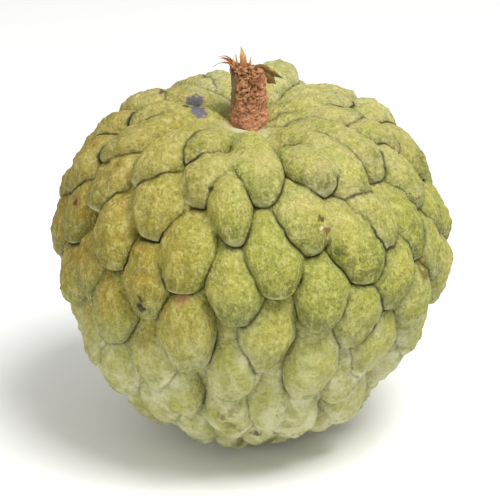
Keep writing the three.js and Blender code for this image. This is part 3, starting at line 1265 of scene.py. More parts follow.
@dataclass(frozen=True)
class SkinFinish:
    """Matt green skin with ochre tints, a mealy bloom, painted shade in its creases and painted highlight
    on the scales' crowns.

    Attributes:
        crown: how far up the back of a scale it is: the larger of two products.
        yellow: how yellow it is by chance: the sum of two products.
        warm: factors of the ochre on the left side.
        bloom: factors of each cause of the bloom, which are added up; the one low down also stands in for
            painted light bounced up from the floor.
        tints: the colours over the plain green, from the lowest up, painted shade and highlight among them.
        marks: scars, spots and patches over them.
        fine_span: values of the finest patches between which the roughness changes.
        roughness: how matt the skin is at the two ends of that.
        grain: sizes of its pebbles and its wrinkles.
        relief: strength and depth of those.
    """

    crown: tuple[tuple[Factor, ...], ...] = ((By(CREASE, 0.8, 4.2),), (FUSED, 0.75))
    yellow: tuple[tuple[Factor, ...], ...] = ((CLOUDS, 0.5), (Measure.TONE_A, 0.3))
    warm: tuple[Factor, ...] = (
        *(By(SIDE, -38, 4, 1, 0), By(HEIGHT, 26, 50), By(HEIGHT, 66, 84, 1, 0.35)),
        *(By(WARM_SPOTS, 0, 1, 0.35), By(TIP, 4, 12, 0.3), By(TONE_B, 0, 1, 0.7, 1.3)),
    )
    bloom: tuple[tuple[Factor, ...], ...] = (
        (By(CREASE, 0.5, 3.4, 1, 0), By(HEIGHT, 30, 55, 1, 0.15), 0.4),
        # Paler low down: bloom that also stands in for painted light bounced up from the floor.
        (By(HEIGHT, 12, 52, 1, 0), By(SIDE, -30, 30, 1.3, 1.5), 0.55),
        (By(Measure.TONE_C, 0.5, 1), 0.1),
        (HIGH, By(SIDE, -12, 14), 0.15),
        (HIGH, By(BACK, 2, 10), By(SIDE, -6, 10, 0.6, 0.4)),
    )
    tints: tuple[Tint, ...] = (
        # Yellow that varies by chance, strongest on the scales' crowns, where it is partly painted
        # highlight.
        Tint(
            srgb("b3ab50"),
            (Measure.YELLOW, By(Measure.CROWN, 0, 1, 0.45, 1.25), By(HEIGHT, 24, 48, 0.6)),
        ),
        Tint(srgb("94761e"), (WARM,)),
        # Darker olive towards each scale's tip: partly the skin's own tone, partly painted shade where the
        # tips face down.
        Tint(
            DEEP_GREEN_AND_SHADE,
            (By(TIP, 1.5, 10, 1, 0.1), By(BLOTCHES, 0, 1, 0.4), MIDDLING, By(TONE_B, 0, 1, 0.55, 1.1)),
        ),
        # Painted shade within a few millimetres of the creases, weaker where the scales have grown
        # together.
        Tint(DEEP_GREEN_AND_SHADE, (By(CREASE, 0.1, 2.4, 1, 0), By(FUSED, 0, 1, 1, 0.25), MIDDLING, 0.35)),
        Tint(DEEP_GREEN_AND_SHADE, (FINE, By(TIP, 3, 12, 0.7, 0.3))),
        Tint(srgb("bdbb92"), (Measure.BLOOM, By(MEALY, 0, 1, 0.25, 1.2), By(WARM, 0, 0.5, 1, 0.25))),
        Tint(srgb("ab9f66"), (DUSTY, By(HEIGHT, 56, 72), 0.65)),
        # Painted shade over the upper left and front of the fruit, olive on the left turning green towards
        # the middle.
        Tint(
            srgb("8d7c2a"),
            (By(SIDE, -16, 18, 1, 0), By(HEIGHT, 40, 56), By(HEIGHT, 70, 80, 1, 0.5), 0.46),
            GREEN,
            By(SIDE, -20, 0),
        ),
        Tint(srgb("d6d08c"), (STREAKS, By(HEIGHT, 20, 40, 0.12, 0.24))),
        Tint(srgb("4e531a"), (FLECKS, MIDDLING, 0.45)),
        Tint(srgb("bdb87c"), (DOTS, 0.3)),
        Tint(srgb("6d6630"), (PORES, 0.75)),
        Tint(srgb("d3d0a6"), (By(TIP, 0.5, 1.9, 1, 0), By(CREASE, 0.15, 0.5), By(MEALY, 0, 1, 0.05, 0.6))),
        # Painted shadow on each scale just below the tip of the scale above it, where the creases show.
        Tint(
            CREASE_SHADE,
            (By(CREASE, 0.2, 1.2, 1, 0), By(SEAM, 1, 7, 1, 0), By(TIP, 9, 13), *CREASE_SHADE_SHOWN, 0.9),
        ),
        # Painted shade along the creases between scales, browner and fainter low down.
        Tint(
            LOW_CREASE_SHADE,
            (By(CREASE, 0.12, 0.6, 1, 0), By(SEAM, 3, 14, 1, 0.6), *CREASE_SHADE_SHOWN, 0.95),
            CREASE_SHADE,
            BROWN_BELOW,
        ),
    )
    marks: tuple[Mark, ...] = (
        Mark((-1.5, -7, 76), 7.5, "d2cfae", 0.75, 1.4, 0.8),
        Mark((-13.2, 6.6, 77.9), 2.5, "504c5c", 0.9, 0.8, 0.4),
        Mark((-12.0, 0.4, 78.7), 2.2, "565260", 0.9, 0.8, 0.4),
        Mark((-12.0, -2.0, 78.3), 2.4, "5b566a", 0.88, 0.8, 0.4),
        Mark((-14.6, -0.4, 79.0), 1.1, "3f3b2c", 0.9, 0.6, 0.5),
        Mark((-24.1, -37.9, 48.7), 1.2, "33281a", 0.9, 0.8, 0.7),
        Mark((-23.9, -37.6, 46.9), 1.5, "2a2015", 0.92, 0.8, 0.7),
        Mark((-39.2, -12.5, 60.9), 2.6, "8a6426", 0.7, 0.8, 0.8),
        Mark((-39.2, -12.5, 60.9), 1.1, "4a3212", 0.9, 0.6, 0.4),
        Mark((-8.4, -32.6, 71.8), 1.2, "2a2410", 0.9, 0.5, 0.5),
        Mark((-15.1, -39.4, 49.2), 2.2, "b27a58", 0.5, 0.8, 0.8),
        Mark((14.5, -34.2, 65.8), 1.0, "4e3522", 0.85, 0.8, 0.4),
        Mark((14.3, -35.7, 64.3), 0.8, "d6c6a0", 0.7, 0.8, 0.5),
        Mark((15.6, -34.5, 62.7), 1.2, "6b4a30", 0.85, 0.8, 0.4),
        Mark((36.7, -21.1, 50.2), 3.0, "6f5c2c", 0.7, 1.0, 0.8),
        Mark((37.6, -22.4, 47.7), 2.2, "5d4a26", 0.7, 1.0, 0.7),
        Mark((-6.7, -35.4, 19.1), 1.3, "6d5c30", 0.7, 1.2, 0.6),
        Mark((-5.0, -34.7, 17.0), 1.5, "66572a", 0.65, 1.3, 0.8),
        Mark((-2.8, -33.3, 15.1), 1.2, "66572a", 0.6, 1.2, 0.8),
        Mark((-4.5, -35.6, 20.7), 1.6, "7d7038", 0.5, 1.3, 0.9),
        Mark((3.5, -24.2, 7.5), 4.6, "474b1a", 0.85, 0.8, 0.8),
        Mark((-2.8, -22.3, 6.5), 3.4, "565a2c", 0.7, 0.8, 0.8),
        Mark((0.8, -28.0, 11.4), 1.4, "3d3a18", 0.8, 0.8, 0.6),
        Mark((-10.5, -35.2, 28.5), 3.0, "7c6f3a", 0.5, 1.5, 0.9),
        Mark((-24.0, -33.4, 36.5), 3.4, "8c7640", 0.5, 1.5, 0.9),
        Mark((23.2, -32.0, 31.5), 2.4, "8a7748", 0.5, 1.4, 0.8),
        Mark((18.6, -36.4, 59.1), 2.2, "4c5220", 0.75, 0.9, 0.7),
        Mark((21.2, -36.9, 57.0), 1.6, "565a24", 0.6, 0.9, 0.7),
    )
    fine_span: Span = (0.2, 0.8)
    roughness: Span = (0.54, 0.74)
    shine: float = 0.25
    grain: Span = (0.75, 1.7)
    relief: Span = (0.9, 0.7)

    def material(self, effects: Effects) -> Material:
        """Builds the material for the fruit's mesh.

        Args:
            effects: the shared effects.

        Returns:
            The material.
        """
        w = SkinWiring("skin", GREEN, effects)
        w.found[Measure.FREE] = w.sum(Op.SUBTRACT, 1.0, w.found[FUSED])
        w.found[Measure.CROWN] = w.joined(Op.LARGER, self.crown)
        w.found[Measure.YELLOW] = w.joined(Op.ADD, self.yellow)
        w.found[WARM] = w.product(self.warm)
        w.found[Measure.BLOOM] = w.joined(Op.ADD, self.bloom)
        colour: Value = GREEN
        for tint in self.tints:
            over: Value = tint.colour
            if tint.other:
                over = w.blend(w.give(tint.turning), tint.colour, tint.other)
            colour = w.blend(w.product(tint.factors), colour, over)
        for spot in self.marks:
            given = {"Centre": spot.centre, "Reach": spot.reach}
            given |= {"Ragged": spot.ragged, "Edge": spot.edge}
            mask = w.effect(effects.blemish, (1, 1, 1), **given).outputs["Mask"]
            colour = w.blend(w.times(mask, spot.cover), colour, srgb(spot.colour))
        rough = w.step(w.mottle(FINE)[1], *self.fine_span, *self.roughness)
        return w.surface(colour, rough, self.shine, (w.grain(*self.grain), *self.relief))


@dataclass(frozen=True)
class BarkFinish:
    """Rough reddish brown bark with painted highlight on its crests and painted shade between them.

    Attributes:
        stretch: share of a distance along X, Y and Z that counts in its patterns.
        brown_from: shares of the relief between which the painted shade of the hollows turns brown.
        crest_from: the same for the painted highlight on the crests.
        pink_and_lit_side: distances to the right between which the bark turns pink, partly its own colour
            and partly painted light on that side.
        pink_level: heights between which it stops being pink all round.
        grain: sizes of its pebbles and its wrinkles.
        depth: strength and depth of those.
    """

    name: str = "bark"
    crest: Colour = srgb("cb9871")
    brown: Colour = srgb("9d6b46")
    hollow: Colour = srgb("4d2f18")
    grey: Colour = srgb("84734e")
    pink: Colour = srgb("c98f70")
    stretch: Place = (1, 1, 0.7)
    brown_from: Span = (0.15, 0.6)
    crest_from: Span = (0.5, 0.95)
    crest_cover: float = 0.9
    patches: Mottling = Mottling(1.1, 0.7, 0.25, stretch=stretch)
    patch_cover: float = 0.35
    pink_and_lit_side: Span = (0.2, 3)
    pink_level: Span = (76, 84)
    pink_cover: float = 0.5
    roughness: float = 0.88
    shine: float = 0.2
    grain: Span = (0.35, 0.6)
    depth: Span = (0.8, 0.3)

    def material(self, effects: Effects) -> Material:
        """Builds the material for a mesh that keeps its relief and its grey parts.

        Args:
            effects: the shared effects.

        Returns:
            The material.
        """
        w = Finish(self.name, self.brown, effects)
        relief, grey = w.stored("relief", "Fac"), w.stored("grey", "Fac")
        side, _, height = w.apart(w.position())
        # Pink on the right side, partly the bark's own colour and partly painted light; pink all round low
        # down.
        low = w.step(height, *self.pink_level, 1, 0)
        pink_share = w.sum(Op.LARGER, w.step(side, *self.pink_and_lit_side), low)
        crests = w.times(w.step(relief, *self.crest_from), self.crest_cover)
        patches = w.times(w.mottle(self.patches)[0], self.patch_cover)
        # Painted shade in the relief's hollows and painted highlight on its crests.
        colour = w.blend(w.step(relief, *self.brown_from), self.hollow, self.brown)
        colour = w.blend(crests, colour, self.crest)
        colour = w.blend(patches, colour, self.hollow)
        colour = w.blend(w.times(pink_share, self.pink_cover), colour, self.pink)
        colour = w.blend(grey, colour, self.grey)
        grain = w.grain(*self.grain, self.stretch)
        return w.surface(colour, self.roughness, self.shine, (grain, *self.depth))


@dataclass(frozen=True)
class FibreFinish:
    """Torn plant fibre with a streaky grain, paler towards its tips.

    Attributes:
        paler: shares of a strand's length between which the root's colour turns into the tip's.
        depth: strength and depth of the streaks' relief.
    """

    name: str
    root: Colour
    tip: Colour
    streak: Colour
    paler: Span = (0.1, 0.9)
    streaks: Mottling = Mottling(0.32, 0.6, 0.2, stretch=(1, 1, 0.16))
    streak_cover: float = 0.55
    roughness: float = 0.75
    shine: float = 0.25
    depth: Span = (0.6, 0.12)

    def material(self, effects: Effects) -> Material:
        """Builds the material for a mesh that keeps the share of its length.

        Args:
            effects: the shared effects.

        Returns:
            The material.
        """
        w = Finish(self.name, self.root, effects)
        mask, value = w.mottle(self.streaks)
        colour = w.blend(w.step(w.stored("length", "Fac"), *self.paler), self.root, self.tip)
        colour = w.blend(w.times(mask, self.streak_cover), colour, self.streak)
        return w.surface(colour, self.roughness, self.shine, (value, *self.depth))


@dataclass(frozen=True)
class FloorFinish:
    """Plain pale floor."""

    colour: Colour = srgb("f4f4f2")
    roughness: float = 0.9
    shine: float = 0.1

    def material(self, effects: Effects) -> Material:
        """Builds the floor's material."""
        floor = Finish("floor", self.colour, effects)
        return floor.surface(self.colour, self.roughness, self.shine)


# ---- Fruit ----


@dataclass(frozen=True)
class Fusing:
    """Where scales have grown into each other: from some length behind the top one's tip on.

    Each span gives the places between which something starts or ends, along the axis that its
    name ends with. A flank counts as turned away where it faces away from the fruit's front.

    Attributes:
        free: length from its tip that a scale is free of its neighbour anywhere.
        free_below: how much more is free low down, up to ``below_z``.
        free_middle: how much more is free in the middle of the front, out to ``middle_x``.
        free_varies: how much the free length varies by chance, as ``free_lumps`` say.
        side_x: distance to the side from which a flank is wholly turned one way or the other.
        free_front: how much more is free near the stem where a flank is turned away by less than
            ``front_flank``, coming in over ``front_fade``.
        fused_back: how much less is free on a flank that is turned away.
        onset: length over which scales grow together.
        sharp_below: fused share up to which the crease between two scales is sharp.
        rounds: how many times the valleys where they are fused are softened.
        give: how far that goes each time.
        valley: distances from the crease between which it fades.
    """

    free: float = 8
    free_below: float = 7
    below_z: Span = (52, 74)
    free_middle: float = 3
    middle_x: Span = (6, 16)
    free_lumps: Lumps = Lumps(10, 61)
    free_varies: float = 4
    side_x: float = 16
    free_front: float = 11
    front_flank: float = 0.9
    front_fade: float = 0.4
    front_z: Span = (52, 70)
    front_x: Span = (-1, 4)
    front_y: Span = (2, 8)
    front_ends_x: Span = (4, 14)
    front_ends_y: Span = (-10, 2)
    fused_back: float = 13
    back_flank: Span = (0.05, 0.5)
    back_z: Span = (34, 56)
    back_ends_z: Span = (69, 74)
    back_ends_x: Span = (7, 12)
    back_ends_y: Span = (5, 25)
    onset: float = 6
    sharp_below: float = 0.25
    rounds: int = 60
    give: float = 0.6
    valley: Span = (0.8, 3.4)

    def share(self, places: Array, seam: Array, flank: Array) -> Array:
        """How far scales have grown together where they meet.

        Args:
            places: places where two scales meet.
            seam: distance of each from the tip of the scale on top.
            flank: its share of the way from that scale's middle to a flank.

        Returns:
            The share at each place, from 0 to 1.
        """
        x, y, height = places.T
        free = self.free + self.free_below * (1 - eased(height, *self.below_z))
        free += self.free_middle * (1 - eased(abs(x), *self.middle_x))
        free += self.free_varies * self.free_lumps.at(places)
        outward = flank * np.clip(x / self.side_x, -1, 1)
        by_stem = 1 - eased(x, *self.front_ends_x) * eased(y, *self.front_ends_y)
        by_stem *= eased(height, *self.front_z)
        by_stem *= np.maximum(eased(x, *self.front_x), eased(y, *self.front_y))
        free += self.free_front * eased(self.front_flank - outward, 0, self.front_fade) * by_stem
        turned_away = eased(outward, *self.back_flank) * eased(height, *self.back_z)
        turned_away *= 1 - eased(height, *self.back_ends_z) * (1 - eased(x, *self.back_ends_x))
        free -= self.fused_back * turned_away * (1 - eased(y, *self.back_ends_y))
        return eased(seam - free, 0, self.onset).astype(np.float32)


@dataclass(frozen=True)
class Fruit:
    """The fruit: a core, a round knob at the blossom end and the scales, grown into one skin.

    Attributes:
        core_depth: depth of the core below the tops of the scales.
        core_end_depth: the same at the blossom end.
        core_end: distances along the outline between which one turns into the other.
        stem_fill: how much less deep it is round the stem.
        stem_fill_reach: distances along the outline between which that fades.
        core_least: least radius of the core between its ends.
        core_lie: distance from a tip and share of the way to a flank that its points count as.
        core_tone: its three random shares.
        knob_level: level of the knob's middle.
        knob_lumps: relief of the knob, as high as ``knob_relief``.
    """

    outline: Outline = Outline()
    layout: ScaleLayout = ScaleLayout()
    form: ScaleForm = ScaleForm()
    fusing: Fusing = Fusing()
    core_depth: float = 5.2
    core_end_depth: float = 4.2
    core_end: Span = (95, 125)
    stem_fill: float = 3.2
    stem_fill_reach: Span = (7, 15)
    core_least: float = 0.5
    core_rows: int = 60
    core_sides: int = 96
    core_lie: Span = (30.0, 0.0)
    core_tone: Place = (0.5, 0.5, 0.5)
    knob_radius: float = 6
    knob_half_height: float = 5
    knob_level: float = -43.5
    knob_rings: int = 22
    knob_sides: int = 40
    knob_lumps: Lumps = Lumps(2.5, 91)
    knob_relief: float = 0.3
    knob_lie: Span = (8.0, 0.0)
    knob_tone: Place = (0.4, 0.5, 0.9)

    def _core(self) -> Mesh:
        """The body under the scales, turned from the outline.

        Returns:
            Its mesh.
        """
        distance = np.linspace(0, self.outline.length, self.core_rows + 1)
        radius, height, out, up = self.outline.at(distance)
        deeper = eased(distance, *self.core_end)
        depth = self.core_depth + (self.core_end_depth - self.core_depth) * deeper
        depth = depth - self.stem_fill * (1 - eased(distance, *self.stem_fill_reach))
        radius = np.maximum(self.core_least, radius - out * depth)
        radius[[0, -1]] = 0
        turns = -np.arange(self.core_sides) * 360 / self.core_sides
        height = height - up * depth
        points = capped(self.outline.place(turns[None, :], 0, radius[:, None], height[:, None]))
        mesh = mesh_of("core", points, tube_faces(self.core_rows - 1, self.core_sides))
        mark(mesh, -1, np.full((len(points), 2), self.core_lie), self.core_tone)
        return mesh

    def _knob(self) -> Mesh:
        """The round knob at the blossom end.

        Returns:
            Its mesh.
        """
        tilt = np.linspace(0, np.pi, self.knob_rings + 2)[:, None]
        turns = -np.arange(self.knob_sides) * 360 / self.knob_sides
        radius = self.knob_radius * np.sin(tilt)
        height = self.knob_level + self.knob_half_height * np.cos(tilt)
        grid = self.outline.place(turns[None, :], 0, radius, height * np.ones_like(turns))
        grid += self.knob_relief * self.knob_lumps.at(grid)[..., None] * (0, 0, 1)
        points = capped(grid)
        mesh = mesh_of("knob", points, tube_faces(self.knob_rings, self.knob_sides))
        mark(mesh, -2, np.full((len(points), 2), self.knob_lie), self.knob_tone)
        return mesh

    def _joined(self) -> Mesh:
        """The core, the knob and every scale joined into one mesh.

        Returns:
            The mesh.
        """
        places = self.layout.places(self.outline)
        parts = [self.form.mesh(f"scale_{k}", p, self.outline, k) for k, p in enumerate(places)]
        parts.append(self._knob())
        core = piece_of("core", self._core())
        others = bpy.data.collections.new("scales")
        bpy.context.scene.collection.children.link(others)
        for part in parts:
            others.objects.link(bpy.data.objects.new(part.name, part))
        join = core.modifiers.new("join", "BOOLEAN")
        join.operation = "UNION"
        join.operand_type = "COLLECTION"
        join.collection = others
        join.solver = "MANIFOLD"
        graph = bpy.context.evaluated_depsgraph_get()
        joined = bpy.data.meshes.new_from_object(core.evaluated_get(graph))
        for old in (*others.objects, core):
            bpy.data.objects.remove(old)
        bpy.data.collections.remove(others)
        for part in parts:
            bpy.data.meshes.remove(part)
        return joined

    @staticmethod
    def _keep_largest(mesh: Mesh) -> None:
        """Drops loose scraps and closed hollows from a mesh.

        Args:
            mesh: the mesh.
        """
        shape = bmesh.new()
        shape.from_mesh(mesh)
        unseen = set(shape.verts)
        groups: list[set[bmesh.types.BMVert]] = []
        while unseen:
            group: set[bmesh.types.BMVert] = set()
            reached = [unseen.pop()]
            while reached:
                point = reached.pop()
                group.add(point)
                near = [e.other_vert(point) for e in point.link_edges]
                fresh = [other for other in near if other in unseen]
                unseen.difference_update(fresh)
                reached += fresh
            groups.append(group)
        largest = max(groups, key=len)
        scraps = [point for group in groups if group is not largest for point in group]
        bmesh.ops.delete(shape, geom=scraps, context="VERTS")
        shape.to_mesh(mesh)
        shape.free()

    def _mark_creases(self, mesh: Mesh) -> Array:
        """Keeps what each point needs to know about the nearest crease between scales.

        That is the distance to it, how far along it is from the tip of the scale that lies on
        top, and how far the scales have grown into each other there, from 0 to 1.

        Args:
            mesh: the joined mesh, whose faces still know the scale that they came from.

        Returns:
            The three values of every point.
        """
        owner = read(mesh.attributes["owner"].data, "value", 1, np.int32)
        owners = np.repeat(owner, read(mesh.polygons, "loop_total", 1, np.int32))
        edges = read(mesh.loops, "edge_index", 1, np.int32)
        points = read(mesh.loops, "vertex_index", 1, np.int32)
        ends = read(mesh.edges, "vertices", 2, np.int32)
        least, most = np.full(len(ends), owner.max()), np.full(len(ends), owner.min())
        np.minimum.at(least, edges, owners)
        np.maximum.at(most, edges, owners)
        split = least != most
        lie = read(mesh.attributes["lie"].data, "vector", 3, np.float32)
        on_top = np.zeros((len(mesh.vertices), 2), np.float32)
        order = np.argsort(-lie[:, 0])
        on_top[points[order]] = lie[order, :2]

        places = read(mesh.vertices, "co", 3, np.float32) / MM
        line = np.unique(ends[split])
        tree = KDTree(len(line))
        for number, point in enumerate(line):
            tree.insert(places[point], number)
        tree.balance()
        found = [tree.find(point)[1:] for point in places]
        nearest = line[[number for number, _ in found]]
        away = np.array([distance for _, distance in found], np.float32)
        seam, flank = on_top[nearest].T
        fused = self.fusing.share(places[nearest], seam, flank)
        creases = np.stack([away, seam, fused], axis=1)
        sharp = split & (fused[ends].min(axis=1) < self.fusing.sharp_below)
        store(mesh, "crease", "FLOAT_VECTOR", "POINT", creases)
        store(mesh, "sharp_edge", "BOOLEAN", "EDGE", sharp)
        mesh.attributes.remove(mesh.attributes["owner"])
        return creases

    def _fuse(self, mesh: Mesh, creases: Array) -> None:
        """Softens the valleys where scales have grown into each other, and flattens the base.

        Args:
            mesh: the joined mesh.
            creases: what ``_mark_creases`` found.
        """
        places = read(mesh.vertices, "co", 3, np.float32).astype(float)
        ends = read(mesh.edges, "vertices", 2, np.int32)
        size = len(places)
        meeting = np.bincount(ends.ravel(), minlength=size)[:, None]
        in_valley = creases[:, 2] * (1 - eased(creases[:, 0], *self.fusing.valley))
        give = self.fusing.give * in_valley[:, None] / meeting
        for _ in range(self.fusing.rounds):
            near = [
                np.bincount(ends[:, 0], places[ends[:, 1], k], size)
                + np.bincount(ends[:, 1], places[ends[:, 0], k], size)
                for k in range(3)
            ]
            places += give * (np.stack(near, axis=1) - meeting * places)
        places[:, 2] = np.maximum(places[:, 2], 0)
        mesh.vertices.foreach_set("co", places.ravel())

    def build(self) -> Piece:
        """Grows the fruit as one piece.

        Returns:
            The piece.
        """
        mesh = self._joined()
        mesh.name = "fruit_skin"
        self._keep_largest(mesh)
        mesh.shade_smooth()
        self._fuse(mesh, self._mark_creases(mesh))
        mesh.update()
        return piece_of("fruit_skin", mesh)

    def dress(self, piece: Piece, finish: SkinFinish, effects: Effects) -> None:
        """Gives the fruit its skin and ties it to the part.

        Args:
            piece: the fruit.
            finish: the skin's finish.
            effects: the shared effects.
        """
        piece.data.materials.clear()
        piece.data.materials.append(finish.material(effects))
        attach(piece, "root")
        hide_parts("fruit")


# ---- Stem ----


@dataclass(frozen=True)
class Sliver:
    """One thin tapered strand of torn wood or fibre.

    Attributes:
        root: where it starts, from the stalk's middle and the top of its rim.
        tip: where it ends.
        width: breadth at its broadest.
        thickness: its other breadth.
        bend: how far its middle bows out, along X, Y and Z.
        facing: degrees that its broad side is turned about its length.
        taper: the higher, the nearer to its tip it gets thin.
        kink: share of its breadth that its kinks take away or add.
        kink_size: length of a kink, where the whole strand is as long as ``kink_length``.
    """

    root: Place
    tip: Place
    width: float
    thickness: float
    bend: Place = (0, 0, 0)
    facing: float = 0
    taper: float = 1.6
    kink: float = 0.25
    kink_size: float = 0.9
    kink_length: float = 7

    def points(self, root: Array, tip: Array, mesh_size: tuple[int, int], seed: int) -> tuple[Array, Array]:
        """Points of the strand in the order that ``tube_faces`` takes.

        Args:
            root: where it starts in space.
            tip: where it ends there.
            mesh_size: rings of points along it, and points in a ring.
            seed: picks its small kinks.

        Returns:
            The points, and each point's share of the strand's length.
        """
        rings, sides = mesh_size
        share = np.linspace(0, 1, rings + 2)
        bow = (4 * share * (1 - share))[:, None] * np.array(self.bend, float)
        middle = root + (tip - root) * share[:, None] + bow
        along = (tip - root) / np.linalg.norm(tip - root)
        facing = math.radians(self.facing)
        flat = np.array([math.cos(facing), math.sin(facing), 0])
        flat -= along * (flat @ along)
        flat /= np.linalg.norm(flat)
        thin = np.cross(along, flat)
        line = np.stack([share * self.kink_length, share * 0, share * 0], axis=-1)
        taper = (1 - share**self.taper) * (1 + self.kink * Lumps(self.kink_size, seed).at(line))
        taper[0] = 0
        angle = np.arange(sides)[:, None] * 2 * np.pi / sides
        ring = np.cos(angle) * flat * self.width / 2 + np.sin(angle) * thin * self.thickness / 2
        grid = middle[:, None, :] + taper[:, None, None] * ring
        return capped(grid), capped(np.tile(share[:, None, None], (1, sides, 1)))


@dataclass(frozen=True)
class Splinters:
    """Small splinters of wood all over the stalk's torn top.

    A range is the least, how much more there can be and, where it isn't 1, the draw's power.

    Attributes:
        out: range of their distance from the stalk's middle.
        root: level of their roots against the top of the rim.
        tip: level of their tips, without their rise.
        falls_at: distance from the middle at which they are as far down as the rim.
        splay: how much further out their tips are than their roots.
        tip_spread: how far their tips stray.
        facing: degrees that they are turned at most.
    """

    count: int = 30
    out: Place = (0.5, 2.9, 0.7)
    root: float = -4.6
    tip: float = -0.8
    rise: Place = (0.2, 0.9, 2)
    falls_at: float = 2.4
    splay: float = 1.05
    tip_spread: float = 0.4
    width: Span = (0.5, 0.6)
    thickness: Span = (0.3, 0.3)
    bend: float = 0.25
    facing: float = 90

    def slivers(self, draws: SeededDraws, fall: Callable[[float], Array]) -> list[Sliver]:
        """Draws the splinters.

        Args:
            draws: the draws.
            fall: how far the rim has fallen at an angle round the stalk.

        Returns:
            The splinters.
        """
        slivers = []
        for _ in range(self.count):
            around, out = draws.draw() * 2 * math.pi, draws.above(*self.out)
            x, y = out * math.cos(around), out * math.sin(around)
            rise = draws.above(*self.rise) - float(fall(around)) * min(1, out / self.falls_at)
            tip_x = x * self.splay + draws.spread(self.tip_spread)
            tip_y = y * self.splay + draws.spread(self.tip_spread)
            width, thickness = draws.above(*self.width), draws.above(*self.thickness)
            bend = (draws.spread(self.bend), draws.spread(self.bend), 0)
            root, tip = (x, y, self.root), (tip_x, tip_y, rise + self.tip)
            slivers.append(Sliver(root, tip, width, thickness, bend, draws.spread(self.facing)))
        return slivers


@dataclass(frozen=True)
class Fibres:
    """Frayed orange fibres that lean out over the rim to the left.

    A range is the least and how much more there can be.

    Attributes:
        side: how far to the front or back they start at most.
        root: place along X and level of their roots.
        tip: the same of the shortest one's tip, without its reach.
        reach: range of how much further out their tips are.
        fan: how much further apart their tips are than their roots.
        tip_spread: how far their tips stray to the side and up or down.
        facing: degrees that they are turned at most.
    """

    count: int = 12
    side: float = 1.9
    root: Span = (-2.6, -1.6)
    tip: Span = (-3.6, 0.2)
    reach: Span = (1.2, 1.9)
    fan: float = 1.2
    tip_spread: Span = (0.5, 0.9)
    width: Span = (0.34, 0.3)
    thickness: float = 0.22
    bend: Place = (0.3, 0, 0.45)
    facing: float = 80

    def slivers(self, draws: SeededDraws) -> list[Sliver]:
        """Draws the fibres.

        Args:
            draws: the draws.

        Returns:
            The fibres.
        """
        slivers = []
        for _ in range(self.count):
            side, reach = draws.spread(self.side), draws.above(*self.reach)
            aside, up = (draws.spread(amount) for amount in self.tip_spread)
            root = (self.root[0], side, self.root[1])
            tip = (self.tip[0] - reach, side * self.fan + aside, self.tip[1] + up)
            width, facing = draws.above(*self.width), draws.spread(self.facing)
            slivers.append(Sliver(root, tip, width, self.thickness, self.bend, facing))
        return slivers


